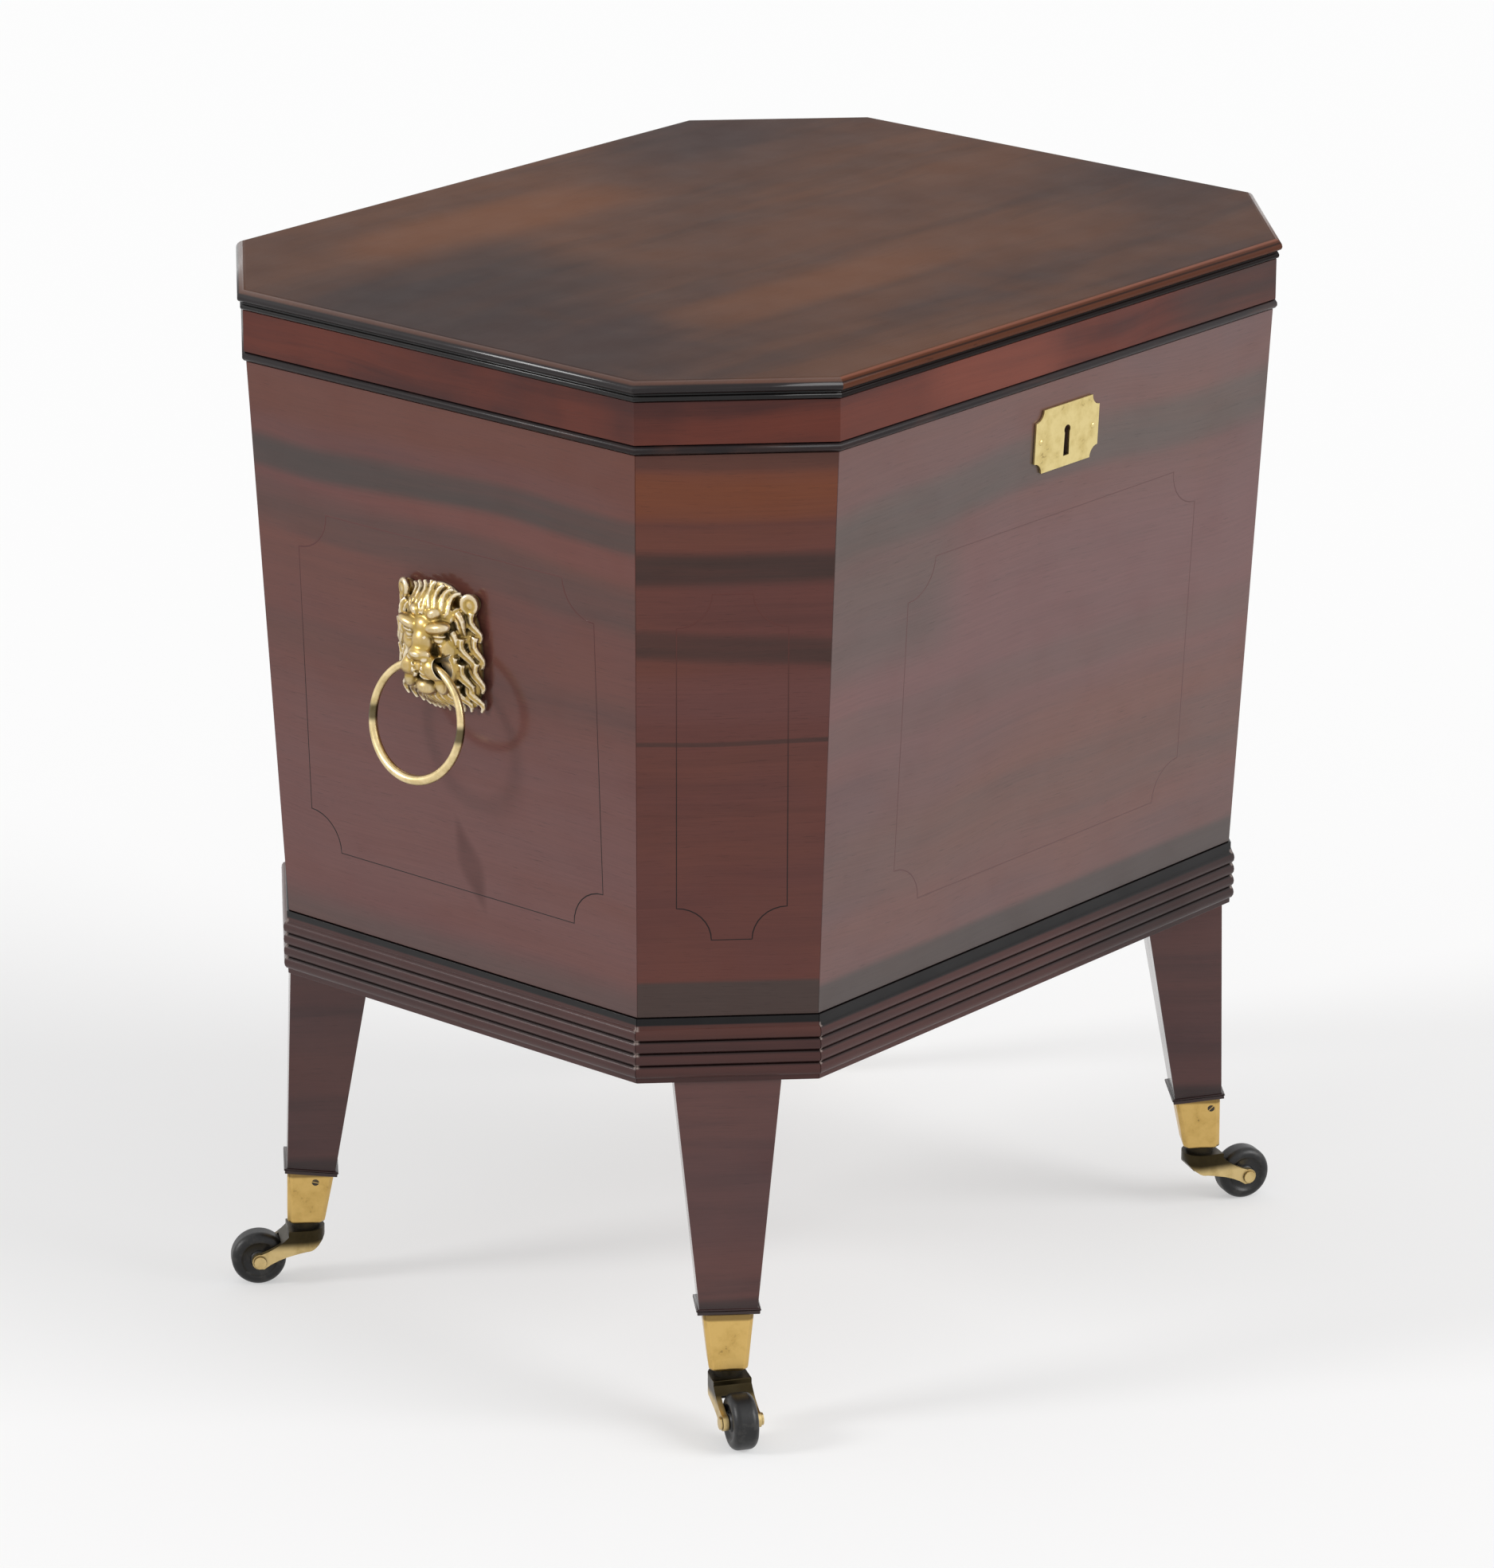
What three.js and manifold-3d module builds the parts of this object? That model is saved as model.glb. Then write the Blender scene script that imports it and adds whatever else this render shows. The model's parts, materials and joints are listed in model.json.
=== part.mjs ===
// A mahogany cellarette: an eight-sided bottle case with a lifting lid, on four splayed legs with casters.
// Millimetres, +Z up. The front with the keyhole faces -Y, the lion-mask handles are on the two ends,
// and the origin lies on the floor under the middle of the case.
import * as THREE from "three";
import { mergeVertices } from "three/addons/utils/BufferGeometryUtils.js";
import Module from "manifold-3d";

const wasm = await Module();
wasm.setup();

// Fits
const clearance = 0.3; // gap between two pieces that meet
const overrun = 1; // how far a cutting shape passes the piece that it cuts
const swing = 0.8; // room for what enters the lock on an arc

// Lid, seen from above
const lidWidth = 546;
const lidDepth = 449;
const lidCant = 79; // how far each cut corner runs along the sides
const lidBoard = 11.5;
const nosingRise = 4.7;
const nosingReach = 5.5;
const nosingUnder = 2.1;
const quirkDepth = 2.6;
const quirkHeight = 0.9;
const astragal = 3.6; // height of the small round under the nosing
const astragalDrop = 0.2; // radians left off each end of its round
const friezeInset = 3;
const friezeHeight = 23.6;
const friezeThickness = 20;
const beadInset = 1.9;
const beadHeight = 5.3;

// Case
const rimInset = 4.25; // of the case's rim behind the lid's widest edge
const caseHeight = 324;
const caseTaperSide = 12.1;
const caseTaperFront = 17.75;
const caseTaperCant = 6.4;
const wall = 14;
const bottomBoard = 14;

// Reeded base frame
const reedCount = 4;
const reedPitch = 7.17;
const reedDepth = 2.2;
const reedProjection = 3.3; // of the reeds beyond the case
const baseFillet = 3;
const baseBand = 6; // plain black band above the reeds
const baseThickness = 23.3;
const baseLedge = 8; // carries the bottom board

// Legs
const legHeight = 139; // from the brass cup to the base frame
const legTopDeep = 47;
const legTopWide = 59;
const ankleDeep = 28;
const ankleWide = 32.5;
const collarReach = 1.2; // of the thin collar beyond the ankle
const collarHeight = 2.4;
const lipReach = 0.5; // of the collar's upper edge beyond the collar
const lipHeight = 1;
const legTopInset = 27.2; // of the leg's centre line behind the face of the base
const footInset = 9.2;
const stubDeep = 26;
const stubWide = 50;

// Casters
const wheelRadius = 16;
const wheelWidth = 14.5;
const wheelEdge = 4.5;
const wheelCrown = 0.5;
const wheelHubRadius = 8;
const wheelDish = 1;
const wheelFacets = 24;
const axleRadius = 2.4;
const axleHead = 1.2;
const axleHeadRadius = 3.6;
const trail = 28.2; // from the pivot to the axle
const cupGap = 6; // from the wheel's top to the cup
const cupHeight = 33;
const cupTopDeep = 27;
const cupTopWide = 28.5;
const cupFoot = 21.5;
const cupWall = 1.5;
const cupFloor = 4;
const cupCorner = 2.5;
const cupRound = 2.4;
const stemRadius = 3;
const stemHeadRadius = 4.6;
const stemHead = 2.2;
const hornWidth = 22;
const hornHub = 11;
const hornWeb = 9.5; // height of the horn's solid part around the stem
const hornNeck = 4; // height of the round neck between the solid part and the cup
const hornNeckRadius = 8;
const hornEye = 4.6;
const wheelRoom = 0.6; // between the wheel and the horn's cheeks
const hornBellyShare = 0.6; // of the trail, where the cheeks' edges bend most
const hornShoulderShare = 0.33; // of the solid part, down to where the cheeks leave the hub
const hornTipShare = 0.57; // of half a turn to each side, that the round eye covers
const casterTurns = {
  front_left: -123.9,
  front_right: -27.2,
  back_left: 139.8,
  back_right: 62,
}; // which way each caster trails at rest, in degrees

// Hinges
const hingeLength = 60;
const hingeSpacing = 250;
const hingeLeaf = 12.5;
const hingePlate = 1.6;
const barrelRadius = 2.8;
const barrelBore = 1.4;
const hingePin = 1;
const hingeReach = 1.25; // of the hinge line beyond the case's back
const barrels = 3;
const hingeFacets = 16;

// Lock
const lockOffset = 4; // the keyhole lies a little right of the middle
const lockWidth = 70;
const lockHeight = 46;
const lockDepth = 12;
const lockSkin = 1.5;
const lockSetback = 7.25; // of the lock behind the case's face at the rim
const selvedgeWidth = 84;
const selvedge = 2;
const selvedgeLip = 1.6;
const boltLength = 32;
const boltHeight = 13.4;
const boltSetback = 8; // of the bolt's end from the keyhole's line
const boltTravel = 7;
const boltNose = 7;
const boltNoseHeight = 4;
const boltNoseDeep = 2.4;
const talonWidth = 8;
const talonHeight = 4.7;
const keyChamberWidth = 22;
const keyChamberHeight = 24.8;
const stapleThickness = 3;
const stapleDeep = 8;
const stapleDrop = 17;
const stapleEyeHeight = 6;
const stapleEyeDeep = 5;
const stapleSill = 2; // metal left under the eye
const stapleGap = 1.2; // from the bolt's nose to the staple
const linkPlateLength = 44;
const linkPlateDeep = 10.4;
const linkPlate = 1.6;

// Escutcheon and keyhole
const escutcheonWidth = 56;
const escutcheonHeight = 36.5;
const escutcheonPlate = 1.2;
const escutcheonScoop = 6.5;
const escutcheonDrop = 33; // of its centre below the rim
const escutcheonPin = 1.7;
const escutcheonPinHead = 0.8;
const escutcheonPinInset = 5;
const keyholeRadius = 2.7;
const keyholeRise = 2.8;
const keyholeDrop = 12.2;
const keyholeNeck = 4.3;
const keyholeFoot = 5;
const keyholeRoom = 0.4;

// Lion-mask handles
const maskWidth = 58;
const maskHeight = 75;
const maskDepth = 26;
const maskDrop = 135; // of its centre below the rim
const ringRadius = 32.6;
const ringWire = 2.5;
const ringLean = 13; // degrees that the beard holds the ring off the case
const mouthDrop = 6;
const mouthOut = 17.8;
const studRadius = 3.5;
const nutRadius = 6.5;
const nutHeight = 4.4;

// Inside
const liner = 1.6;
const linerDrop = 73.7; // of the liner's top edge below the rim
const divider = 6;
const dividerHeight = 180;
const dividerColumns = 4;
const dividerRows = 3;

// Levels
const cupZ = 2 * wheelRadius + cupGap;
const hornZ = cupZ - clearance - hornNeck; // top of the horn's solid part
const cupTopZ = cupZ + cupHeight;
const baseZ = cupTopZ + legHeight;
const baseHeight = baseFillet + reedCount * reedPitch + baseBand;
const caseZ = baseZ + baseHeight;
const rimZ = caseZ + caseHeight;
const lidZ = rimZ + clearance;
const friezeZ = lidZ + beadHeight + clearance;
const lidBoardZ = friezeZ + friezeHeight + clearance;
const lidTopZ = lidBoardZ + lidBoard;
const linerZ = caseZ + clearance;
const linerTopZ = rimZ - linerDrop;
const dividerZ = linerZ + liner + clearance;

// Finishes
const finishes = {
  mahogany: { color: 0x6b4238, roughness: 0.32, metalness: 0 },
  crossbanding: { color: 0x5c3226, roughness: 0.32, metalness: 0 },
  ebonised: { color: 0x2a1f20, roughness: 0.3, metalness: 0 },
  carcase: { color: 0x7a5138, roughness: 0.7, metalness: 0 },
  brass: { color: 0xc9a75b, roughness: 0.3, metalness: 1 },
  caster: { color: 0x17171a, roughness: 0.35, metalness: 0 },
  zinc: { color: 0x8f9496, roughness: 0.5, metalness: 0.9 },
};

const turn = 2 * Math.PI;
const quarter = Math.PI / 2;
const model = new THREE.Group();

function piece(name, finish, geometry, holder = model) {
  const mesh = new THREE.Mesh(geometry, new THREE.MeshStandardMaterial(finishes[finish]));
  mesh.name = name;
  holder.add(mesh);
  return mesh;
}

// Solids: a closed surface through rings of points, and its joins and cuts
function outward(points, faces) {
  const volume = faces.reduce((sum, [a, b, c]) => sum + points[a].dot(points[b].clone().cross(points[c])), 0);
  const turned = volume < 0 ? faces.map(([a, b, c]) => [a, c, b]) : faces;
  const geometry = new THREE.BufferGeometry().setFromPoints(points);
  geometry.setIndex(turned.flat());
  const flat = geometry.toNonIndexed();
  flat.computeVertexNormals();
  return flat;
}

function fan(count) {
  return Array.from({ length: count - 2 }, (_, i) => [0, i + 1, i + 2]);
}

function loft(rings, { closed = false, cap } = {}) {
  const count = rings[0].length;
  const spans = closed ? rings.length : rings.length - 1;
  const faces = [];
  for (let i = 0; i < spans; i++) {
    const here = i * count;
    const next = ((i + 1) % rings.length) * count;
    for (let j = 0; j < count; j++) {
      const k = (j + 1) % count;
      faces.push([here + j, next + j, next + k], [here + j, next + k, here + k]);
    }
  }
  if (!closed) {
    const end = (rings.length - 1) * count;
    for (const [a, b, c] of cap ?? fan(count)) faces.push([a, b, c], [end + a, end + c, end + b]);
  }
  return outward(rings.flat(), faces);
}

function solidOf(geometry) {
  const bare = geometry.clone();
  bare.deleteAttribute("normal");
  bare.deleteAttribute("uv");
  const merged = mergeVertices(bare);
  const vertProperties = merged.attributes.position.array;
  const triVerts = new Uint32Array(merged.index.array);
  return new wasm.Manifold(new wasm.Mesh({ numProp: 3, vertProperties, triVerts }));
}

function geometryOf(solid) {
  const mesh = solid.getMesh();
  const geometry = new THREE.BufferGeometry();
  geometry.setAttribute("position", new THREE.BufferAttribute(new Float32Array(mesh.vertProperties), 3));
  geometry.setIndex(new THREE.BufferAttribute(new Uint32Array(mesh.triVerts), 1));
  const flat = geometry.toNonIndexed();
  flat.computeVertexNormals();
  return flat;
}

function cut(geometry, ...tools) {
  return geometryOf(tools.reduce((solid, tool) => solid.subtract(solidOf(tool)), solidOf(geometry)));
}

function join(...geometries) {
  return geometryOf(geometries.map(solidOf).reduce((all, solid) => all.add(solid)));
}

function common(a, b) {
  return geometryOf(solidOf(a).intersect(solidOf(b)));
}

function box(low, high) {
  const size = high.map((value, i) => value - low[i]);
  return new THREE.BoxGeometry(...size).translate(...high.map((value, i) => (value + low[i]) / 2));
}

// A round bar centred on the origin, along x, y or z
function rod(radius, length, axis, facets) {
  const bar = new THREE.CylinderGeometry(radius, radius, length, facets);
  if (axis === "x") bar.rotateZ(quarter);
  if (axis === "z") bar.rotateX(quarter);
  return bar;
}

function extrude(shape, depth) {
  return new THREE.ExtrudeGeometry(shape, { depth, bevelEnabled: false });
}

function polygon(points) {
  return new THREE.Shape(points.map(([x, y]) => new THREE.Vector2(x, y)));
}

function arc(cx, cy, rx, ry, from, to, steps) {
  return Array.from({ length: steps + 1 }, (_, i) => {
    const angle = from + ((to - from) * i) / steps;
    return [cx + rx * Math.cos(angle), cy + ry * Math.sin(angle)];
  });
}

// The eight-sided plan: corner k starts side k, counter-clockwise from the front's left end
const sideNames = [
  "front",
  "cant_front_right",
  "right",
  "cant_back_right",
  "back",
  "cant_back_left",
  "left",
  "cant_front_left",
];
const cantGrowth = 2 - Math.SQRT2; // how a cant grows as the plan is offset outward
const mitre = Math.cos(turn / 16); // each mitre is cut at half of the eighth of a turn between two sides

const lidPlan = { width: lidWidth, depth: lidDepth, cant: lidCant };

function offset({ width, depth, cant }, by) {
  return { width: width + 2 * by, depth: depth + 2 * by, cant: cant + cantGrowth * by };
}

function corners({ width, depth, cant }) {
  const x = width / 2;
  const y = depth / 2;
  return [
    [cant - x, -y],
    [x - cant, -y],
    [x, cant - y],
    [x, y - cant],
    [x - cant, y],
    [cant - x, y],
    [-x, y - cant],
    [-x, cant - y],
  ];
}

// The case's plan at a height: the walls lean outward to the rim
function casePlan(z) {
  const share = (rimZ - z) / caseHeight;
  const rim = offset(lidPlan, -rimInset);
  return {
    width: rim.width - 2 * caseTaperSide * share,
    depth: rim.depth - 2 * caseTaperFront * share,
    cant: rim.cant - caseTaperCant * share,
  };
}

const basePlan = offset(casePlan(caseZ), reedProjection);

function ringAt(plan, z) {
  return corners(plan).map(([x, y]) => new THREE.Vector3(x, y, z));
}

// A stack of plans: profile points are [offset outward, height]
function stack(profile, plan) {
  return loft(profile.map(([out, z]) => ringAt(offset(plan, out), z)));
}

// A frame round the whole plan with the profile as its section
function frame(profile, plan) {
  const sections = sideNames.map((_, k) =>
    profile.map(([out, z]) => {
      const [x, y] = corners(offset(plan, out))[k];
      return new THREE.Vector3(x, y, z);
    }),
  );
  return loft(sections, { closed: true });
}

// The two ends of one side, drawn in so that neighbours keep the clearance at their mitre
function sideEnds(plan, k) {
  const points = corners(plan).map(([x, y]) => new THREE.Vector2(x, y));
  const [a, b] = [points[k], points[(k + 1) % points.length]];
  const draw = b.clone().sub(a).normalize().multiplyScalar(clearance / 2 / mitre);
  return [a.clone().add(draw), b.clone().sub(draw)];
}

function mitredLength(profile, plan, k) {
  const ends = [0, 1].map((end) =>
    profile.map(([out, z]) => {
      const at = sideEnds(offset(plan, out), k)[end];
      return new THREE.Vector3(at.x, at.y, z);
    }),
  );
  const outline = profile.map(([out, z]) => new THREE.Vector2(out, z));
  return loft(ends, { cap: THREE.ShapeUtils.triangulateShape(outline, []) });
}

// A wall board: its faces lean with the case and its ends are mitred
function wallBoard(k) {
  const low = caseZ + clearance;
  const rings = [low, rimZ].map((z) => {
    const [a, b] = sideEnds(casePlan(z), k);
    const [c, d] = sideEnds(offset(casePlan(z), -wall), k);
    return [a, b, d, c].map(({ x, y }) => new THREE.Vector3(x, y, z));
  });
  return loft(rings);
}

const frontLean = Math.atan(caseTaperFront / caseHeight);
const sideLean = Math.atan(caseTaperSide / caseHeight);

// Where a level crosses the middle of the front or the end of the case
function frontFace(z) {
  return -casePlan(z).depth / 2;
}

function endFace(z) {
  return casePlan(z).width / 2;
}

// Keyhole, drawn about the escutcheon's centre and grown by a margin
function keyholeShape(margin) {
  const radius = keyholeRadius + margin;
  const neck = keyholeNeck / 2 + margin;
  const foot = keyholeFoot / 2 + margin;
  const start = Math.asin(neck / radius);
  const head = arc(0, keyholeRise, radius, radius, start - quarter, 3 * quarter - start, 14);
  return polygon([...head, [-foot, -keyholeDrop - margin], [foot, -keyholeDrop - margin]]);
}

// Puts a plate that is drawn in x and y, thick along z, on the leaning front
function onFront(geometry, z, out) {
  geometry.rotateX(quarter + frontLean);
  return geometry.translate(lockOffset, frontFace(z) - out, z);
}

const escutcheonZ = rimZ - escutcheonDrop;

function keyway(margin, depth) {
  const hole = extrude(keyholeShape(margin), depth).translate(0, 0, -depth / 2);
  return onFront(hole, escutcheonZ, 0);
}

function escutcheon() {
  const x = escutcheonWidth / 2;
  const y = escutcheonHeight / 2;
  const s = escutcheonScoop;
  const outline = [
    ...arc(x, -y, s, s, Math.PI, quarter, 6),
    ...arc(x, y, s, s, 3 * quarter, Math.PI, 6),
    ...arc(-x, y, s, s, 0, -quarter, 6),
    ...arc(-x, -y, s, s, quarter, 0, 6),
  ];
  const plate = extrude(polygon(outline), escutcheonPlate);
  const hole = extrude(keyholeShape(0), escutcheonPlate + 2 * overrun).translate(0, 0, -overrun);
  const pins = [-1, 1].map((side) => {
    const head = new THREE.SphereGeometry(escutcheonPin, 10, 6);
    head.scale(1, 1, escutcheonPinHead / escutcheonPin);
    return head.translate(side * (x - escutcheonPinInset), 0, escutcheonPlate);
  });
  return onFront(join(cut(plate, hole), ...pins), escutcheonZ, clearance);
}

// Lock: a brass box let into the front board, its bolt, and the link plate that hangs from the lid
const lockY = frontFace(rimZ) + lockSetback; // front of the lock
const lockMiddleY = lockY + lockDepth / 2;
const keywayDepth = 2 * (lockSetback + lockDepth);
const boltZ = rimZ - lockHeight + lockSkin + keyChamberHeight + clearance;
const boltStart = lockOffset + boltSetback - boltLength;
const stapleX = lockOffset + boltSetback + boltNose + stapleGap;

function chamberBox(margin) {
  const deep = lockDepth / 2 - lockSkin;
  const thrown = boltStart + boltLength + boltNose + boltTravel;
  return box(
    [boltStart - boltTravel, lockMiddleY - deep, boltZ - margin],
    [thrown + margin, lockMiddleY + deep, boltZ + boltHeight + margin],
  );
}

function lockBody(grow) {
  const body = box(
    [lockOffset - lockWidth / 2 - grow, lockY - grow, rimZ - lockHeight - grow],
    [lockOffset + lockWidth / 2 + grow, lockY + lockDepth + grow, rimZ + (grow ? overrun : 0)],
  );
  const top = box(
    [lockOffset - selvedgeWidth / 2 - grow, lockY - selvedgeLip - grow, rimZ - selvedge - grow],
    [lockOffset + selvedgeWidth / 2 + grow, lockY + lockDepth + grow, rimZ + (grow ? overrun : 0)],
  );
  return join(body, top);
}

function lockCase() {
  const keyChamber = box(
    [lockOffset - keyChamberWidth / 2, lockY + lockSkin, rimZ - lockHeight + lockSkin],
    [lockOffset + keyChamberWidth / 2, lockY + lockDepth - lockSkin, boltZ + overrun],
  );
  const slot = box(
    [stapleX - swing, lockMiddleY - stapleDeep / 2 - swing, boltZ],
    [stapleX + stapleThickness + swing, lockMiddleY + stapleDeep / 2 + swing, rimZ + overrun],
  );
  const front = keyway(0, keywayDepth);
  const half = box(
    [lockOffset - lockWidth, lockY - lockDepth, rimZ - lockHeight],
    [lockOffset + lockWidth, lockMiddleY, rimZ],
  );
  return cut(lockBody(0), chamberBox(clearance), keyChamber, slot, common(front, half));
}

function lockBolt() {
  const deep = lockDepth / 2 - lockSkin - clearance;
  const block = box(
    [boltStart, lockMiddleY - deep, boltZ],
    [boltStart + boltLength, lockMiddleY + deep, boltZ + boltHeight],
  );
  const noseZ = lidZ - stapleDrop + stapleSill + stapleEyeHeight / 2;
  const nose = box(
    [boltStart + boltLength - overrun, lockMiddleY - boltNoseDeep / 2, noseZ - boltNoseHeight / 2],
    [boltStart + boltLength + boltNose, lockMiddleY + boltNoseDeep / 2, noseZ + boltNoseHeight / 2],
  );
  const talon = box(
    [lockOffset - talonWidth / 2, lockMiddleY - lockDepth, boltZ - overrun],
    [lockOffset + talonWidth / 2, lockMiddleY + lockDepth, boltZ + talonHeight],
  );
  return cut(join(block, nose), talon);
}

function linkPlateBox(grow) {
  const middle = stapleX + stapleThickness / 2;
  const reach = linkPlateLength / 2 + grow;
  const deep = linkPlateDeep / 2 + grow;
  return box(
    [middle - reach, lockMiddleY - deep, lidZ - (grow ? overrun : 0)],
    [middle + reach, lockMiddleY + deep, lidZ + linkPlate + grow],
  );
}

function lockLinkPlate() {
  const eyeZ = lidZ - stapleDrop + stapleSill;
  const staple = box(
    [stapleX, lockMiddleY - stapleDeep / 2, lidZ - stapleDrop],
    [stapleX + stapleThickness, lockMiddleY + stapleDeep / 2, lidZ + linkPlate / 2],
  );
  const eye = box(
    [stapleX - overrun, lockMiddleY - stapleEyeDeep / 2, eyeZ],
    [stapleX + stapleThickness + overrun, lockMiddleY + stapleEyeDeep / 2, eyeZ + stapleEyeHeight],
  );
  return cut(join(linkPlateBox(0), staple), eye);
}

// Hinges: two leaves that share a barrel on a pin, just clear of the case's back
const hingeY = -frontFace(rimZ) + hingeReach;
const hingeZ = rimZ + clearance / 2;
const hingeLine = (radius, length, x) => rod(radius, length, "x", hingeFacets).translate(x, hingeY, hingeZ);

function leaf(x, upper) {
  const [low, high] = upper ? [lidZ, lidZ + hingePlate] : [rimZ - hingePlate, rimZ];
  const plate = box([x - hingeLength / 2, hingeY - hingeLeaf, low], [x + hingeLength / 2, hingeY, high]);
  const pitch = hingeLength / barrels;
  const places = Array.from({ length: barrels }, (_, i) => x + (i - (barrels - 1) / 2) * pitch);
  const own = places.filter((_, i) => (i % 2 === 1) === upper);
  const others = places.filter((_, i) => (i % 2 === 1) !== upper);
  const knuckles = own.map((at) => hingeLine(barrelRadius, pitch - clearance, at));
  const rooms = others.map((at) => hingeLine(barrelRadius + clearance, pitch + clearance, at));
  const bore = hingeLine(barrelBore, hingeLength + 2 * overrun, x);
  return cut(join(plate, ...knuckles), ...rooms, bore);
}

function hingeRoom(x, upper) {
  const half = hingeLength / 2 + clearance;
  const [low, high] = upper
    ? [lidZ - overrun, lidZ + hingePlate + clearance]
    : [rimZ - hingePlate - clearance, rimZ + overrun];
  const plate = box([x - half, hingeY - hingeLeaf - clearance, low], [x + half, hingeY + barrelRadius, high]);
  return join(plate, hingeLine(barrelRadius + clearance, 2 * half, x));
}

// Lion-mask handle, drawn with x across the case, y up it and z out of it
const mouth = new THREE.Vector3(0, -mouthDrop, mouthOut);

// Bumps of the face: centre and spread as shares of the half width and half height, rise as one of the depth
const bumpShares = [
  [0, -0.28, 0.36, 0.26, 0.5],
  [0, 0.08, 0.15, 0.34, 0.34],
  [0, -0.1, 0.24, 0.1, 0.16],
  [0, -0.74, 0.26, 0.16, 0.34],
  [0, 0.72, 0.24, 0.26, 0.34],
];
const pairedBumpShares = [
  [0.3, 0.26, 0.24, 0.09, 0.3],
  [0.3, 0, 0.14, 0.1, -0.24],
  [0.42, -0.2, 0.16, 0.18, 0.18],
  [0.78, 0.74, 0.16, 0.15, 0.3],
  [0.46, -0.62, 0.16, 0.2, 0.18],
];
const squareness = 3.2; // of the mask's outline: two would be an oval
const domeShare = 0.4; // of the depth, under the bumps
const edgeShare = 0.13; // of the depth, at the mask's edge
const ringShares = [1, 0.88, 0.76, 0.64, 0.52, 0.4, 0.28, 0.16]; // of the outline, from its edge inward
const maneLocks = 14;
const maneStepsPerLock = 3;
const maneStartShare = 0.58; // where the hair begins, as a share of the outline
const maneRiseShare = 0.15;
const maneScallopShare = 0.05;
const maneTwist = 3; // how far a lock curls between the face and the edge, in radians of its wave

function maneWave(angle, share) {
  return Math.cos(maneLocks * angle + maneTwist * (1 - share));
}

// How far an oval's point is pushed out to lie on the squarer outline
function squared(cos, sin) {
  return (Math.abs(cos) ** squareness + Math.abs(sin) ** squareness) ** (-1 / squareness);
}

function reliefHeight(x, y, share, angle) {
  const bumps = [
    ...bumpShares,
    ...pairedBumpShares,
    ...pairedBumpShares.map(([cx, ...rest]) => [-cx, ...rest]),
  ];
  const face = bumps.reduce((sum, [cx, cy, wide, tall, rise]) => {
    return sum + rise * Math.exp(-(((x - cx) / wide) ** 2) - ((y - cy) / tall) ** 2);
  }, 0);
  const dome = domeShare * Math.sqrt(1 - share ** 2);
  const mane = THREE.MathUtils.smoothstep(share, maneStartShare, 1 - edgeShare) * maneRiseShare;
  return maskDepth * Math.min(1, edgeShare + dome + face + mane * maneWave(angle, share));
}

// One ring of the relief, or of the flat back where the height is nothing
function maskRing(share, flat) {
  const count = maneLocks * maneStepsPerLock;
  return Array.from({ length: count }, (_, i) => {
    const angle = (turn * i) / count;
    const scallop = 1 + maneScallopShare * (maneWave(angle, 1) - 1) * share;
    const reach = share * scallop * squared(Math.cos(angle), Math.sin(angle));
    const [x, y] = [reach * Math.cos(angle), reach * Math.sin(angle)];
    const height = flat ? 0 : Math.max(reliefHeight(x, y, share, angle), maskDepth * edgeShare);
    return new THREE.Vector3((x * maskWidth) / 2, (y * maskHeight) / 2, height);
  });
}

// The mouth flares to both sides in front of the ring, so the ring can lie in it and swing outward
function mouthChannel() {
  const steps = 4;
  const half = maskWidth / 2;
  const room = ringWire + 2 * clearance;
  const outer = Array.from({ length: 2 * steps + 1 }, (_, i) => {
    const along = (half * (i - steps)) / steps;
    const sag = ringRadius - Math.sqrt(ringRadius ** 2 - along ** 2);
    return new THREE.Vector2(room + sag, along);
  });
  const profile = [new THREE.Vector2(0, -half), ...outer, new THREE.Vector2(0, half)];
  const flare = new THREE.LatheGeometry(profile, 12).rotateZ(-quarter).translate(...mouth);
  const front = box([-half, -maskHeight, mouthOut - room], [half, maskHeight, 2 * maskDepth]);
  return common(flare, front);
}

function lionMask() {
  const rings = ringShares.map((share) => maskRing(share, false));
  const head = loft([maskRing(ringShares.at(-1), true), maskRing(1, true), ...rings]);
  const stud = rod(studRadius, wall + overrun, "z", 12).translate(0, 0, (overrun - wall) / 2);
  const nut = rod(nutRadius, nutHeight, "z", 6).translate(0, 0, nutHeight / 2 - wall);
  return join(cut(head, mouthChannel()), stud, nut);
}

const maskZ = rimZ - maskDrop;

// The room for a mask's stud and nut in an end board
function studRoom(side) {
  const hole = rod(studRadius + clearance, 2 * wall + 2 * overrun, "z", 12);
  const seat = rod(nutRadius + 2 * clearance, nutHeight + clearance + overrun, "z", 12);
  seat.translate(0, 0, (nutHeight + clearance - overrun) / 2 - wall);
  return join(hole, seat).applyMatrix4(handleFrame(side).matrix);
}

function handleFrame(side) {
  const group = new THREE.Group();
  const across = new THREE.Vector3(0, side, 0);
  const up = new THREE.Vector3(side * Math.sin(sideLean), 0, Math.cos(sideLean));
  const out = new THREE.Vector3(side * Math.cos(sideLean), 0, -Math.sin(sideLean));
  group.quaternion.setFromRotationMatrix(new THREE.Matrix4().makeBasis(across, up, out));
  group.position.set(side * (endFace(maskZ) + clearance), 0, maskZ);
  group.updateMatrix();
  return group;
}

function handle(side, name) {
  const group = handleFrame(side);
  piece("lion_mask_" + name, "brass", lionMask(), group);
  const pivot = new THREE.Group();
  pivot.position.copy(mouth);
  pivot.rotation.x = -THREE.MathUtils.degToRad(ringLean);
  const ring = new THREE.TorusGeometry(ringRadius, ringWire, 8, 32);
  piece("handle_ring_" + name, "brass", ring, pivot).position.y = -ringRadius;
  group.add(pivot);
  model.add(group);
}

// Legs and casters: x points out through the cant, y along it, and the group stands on the floor
const legSlope = (legTopInset - footInset) / (baseZ - cupZ);
const legAxis = (z) => -legTopInset + legSlope * (baseZ - z);

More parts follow.
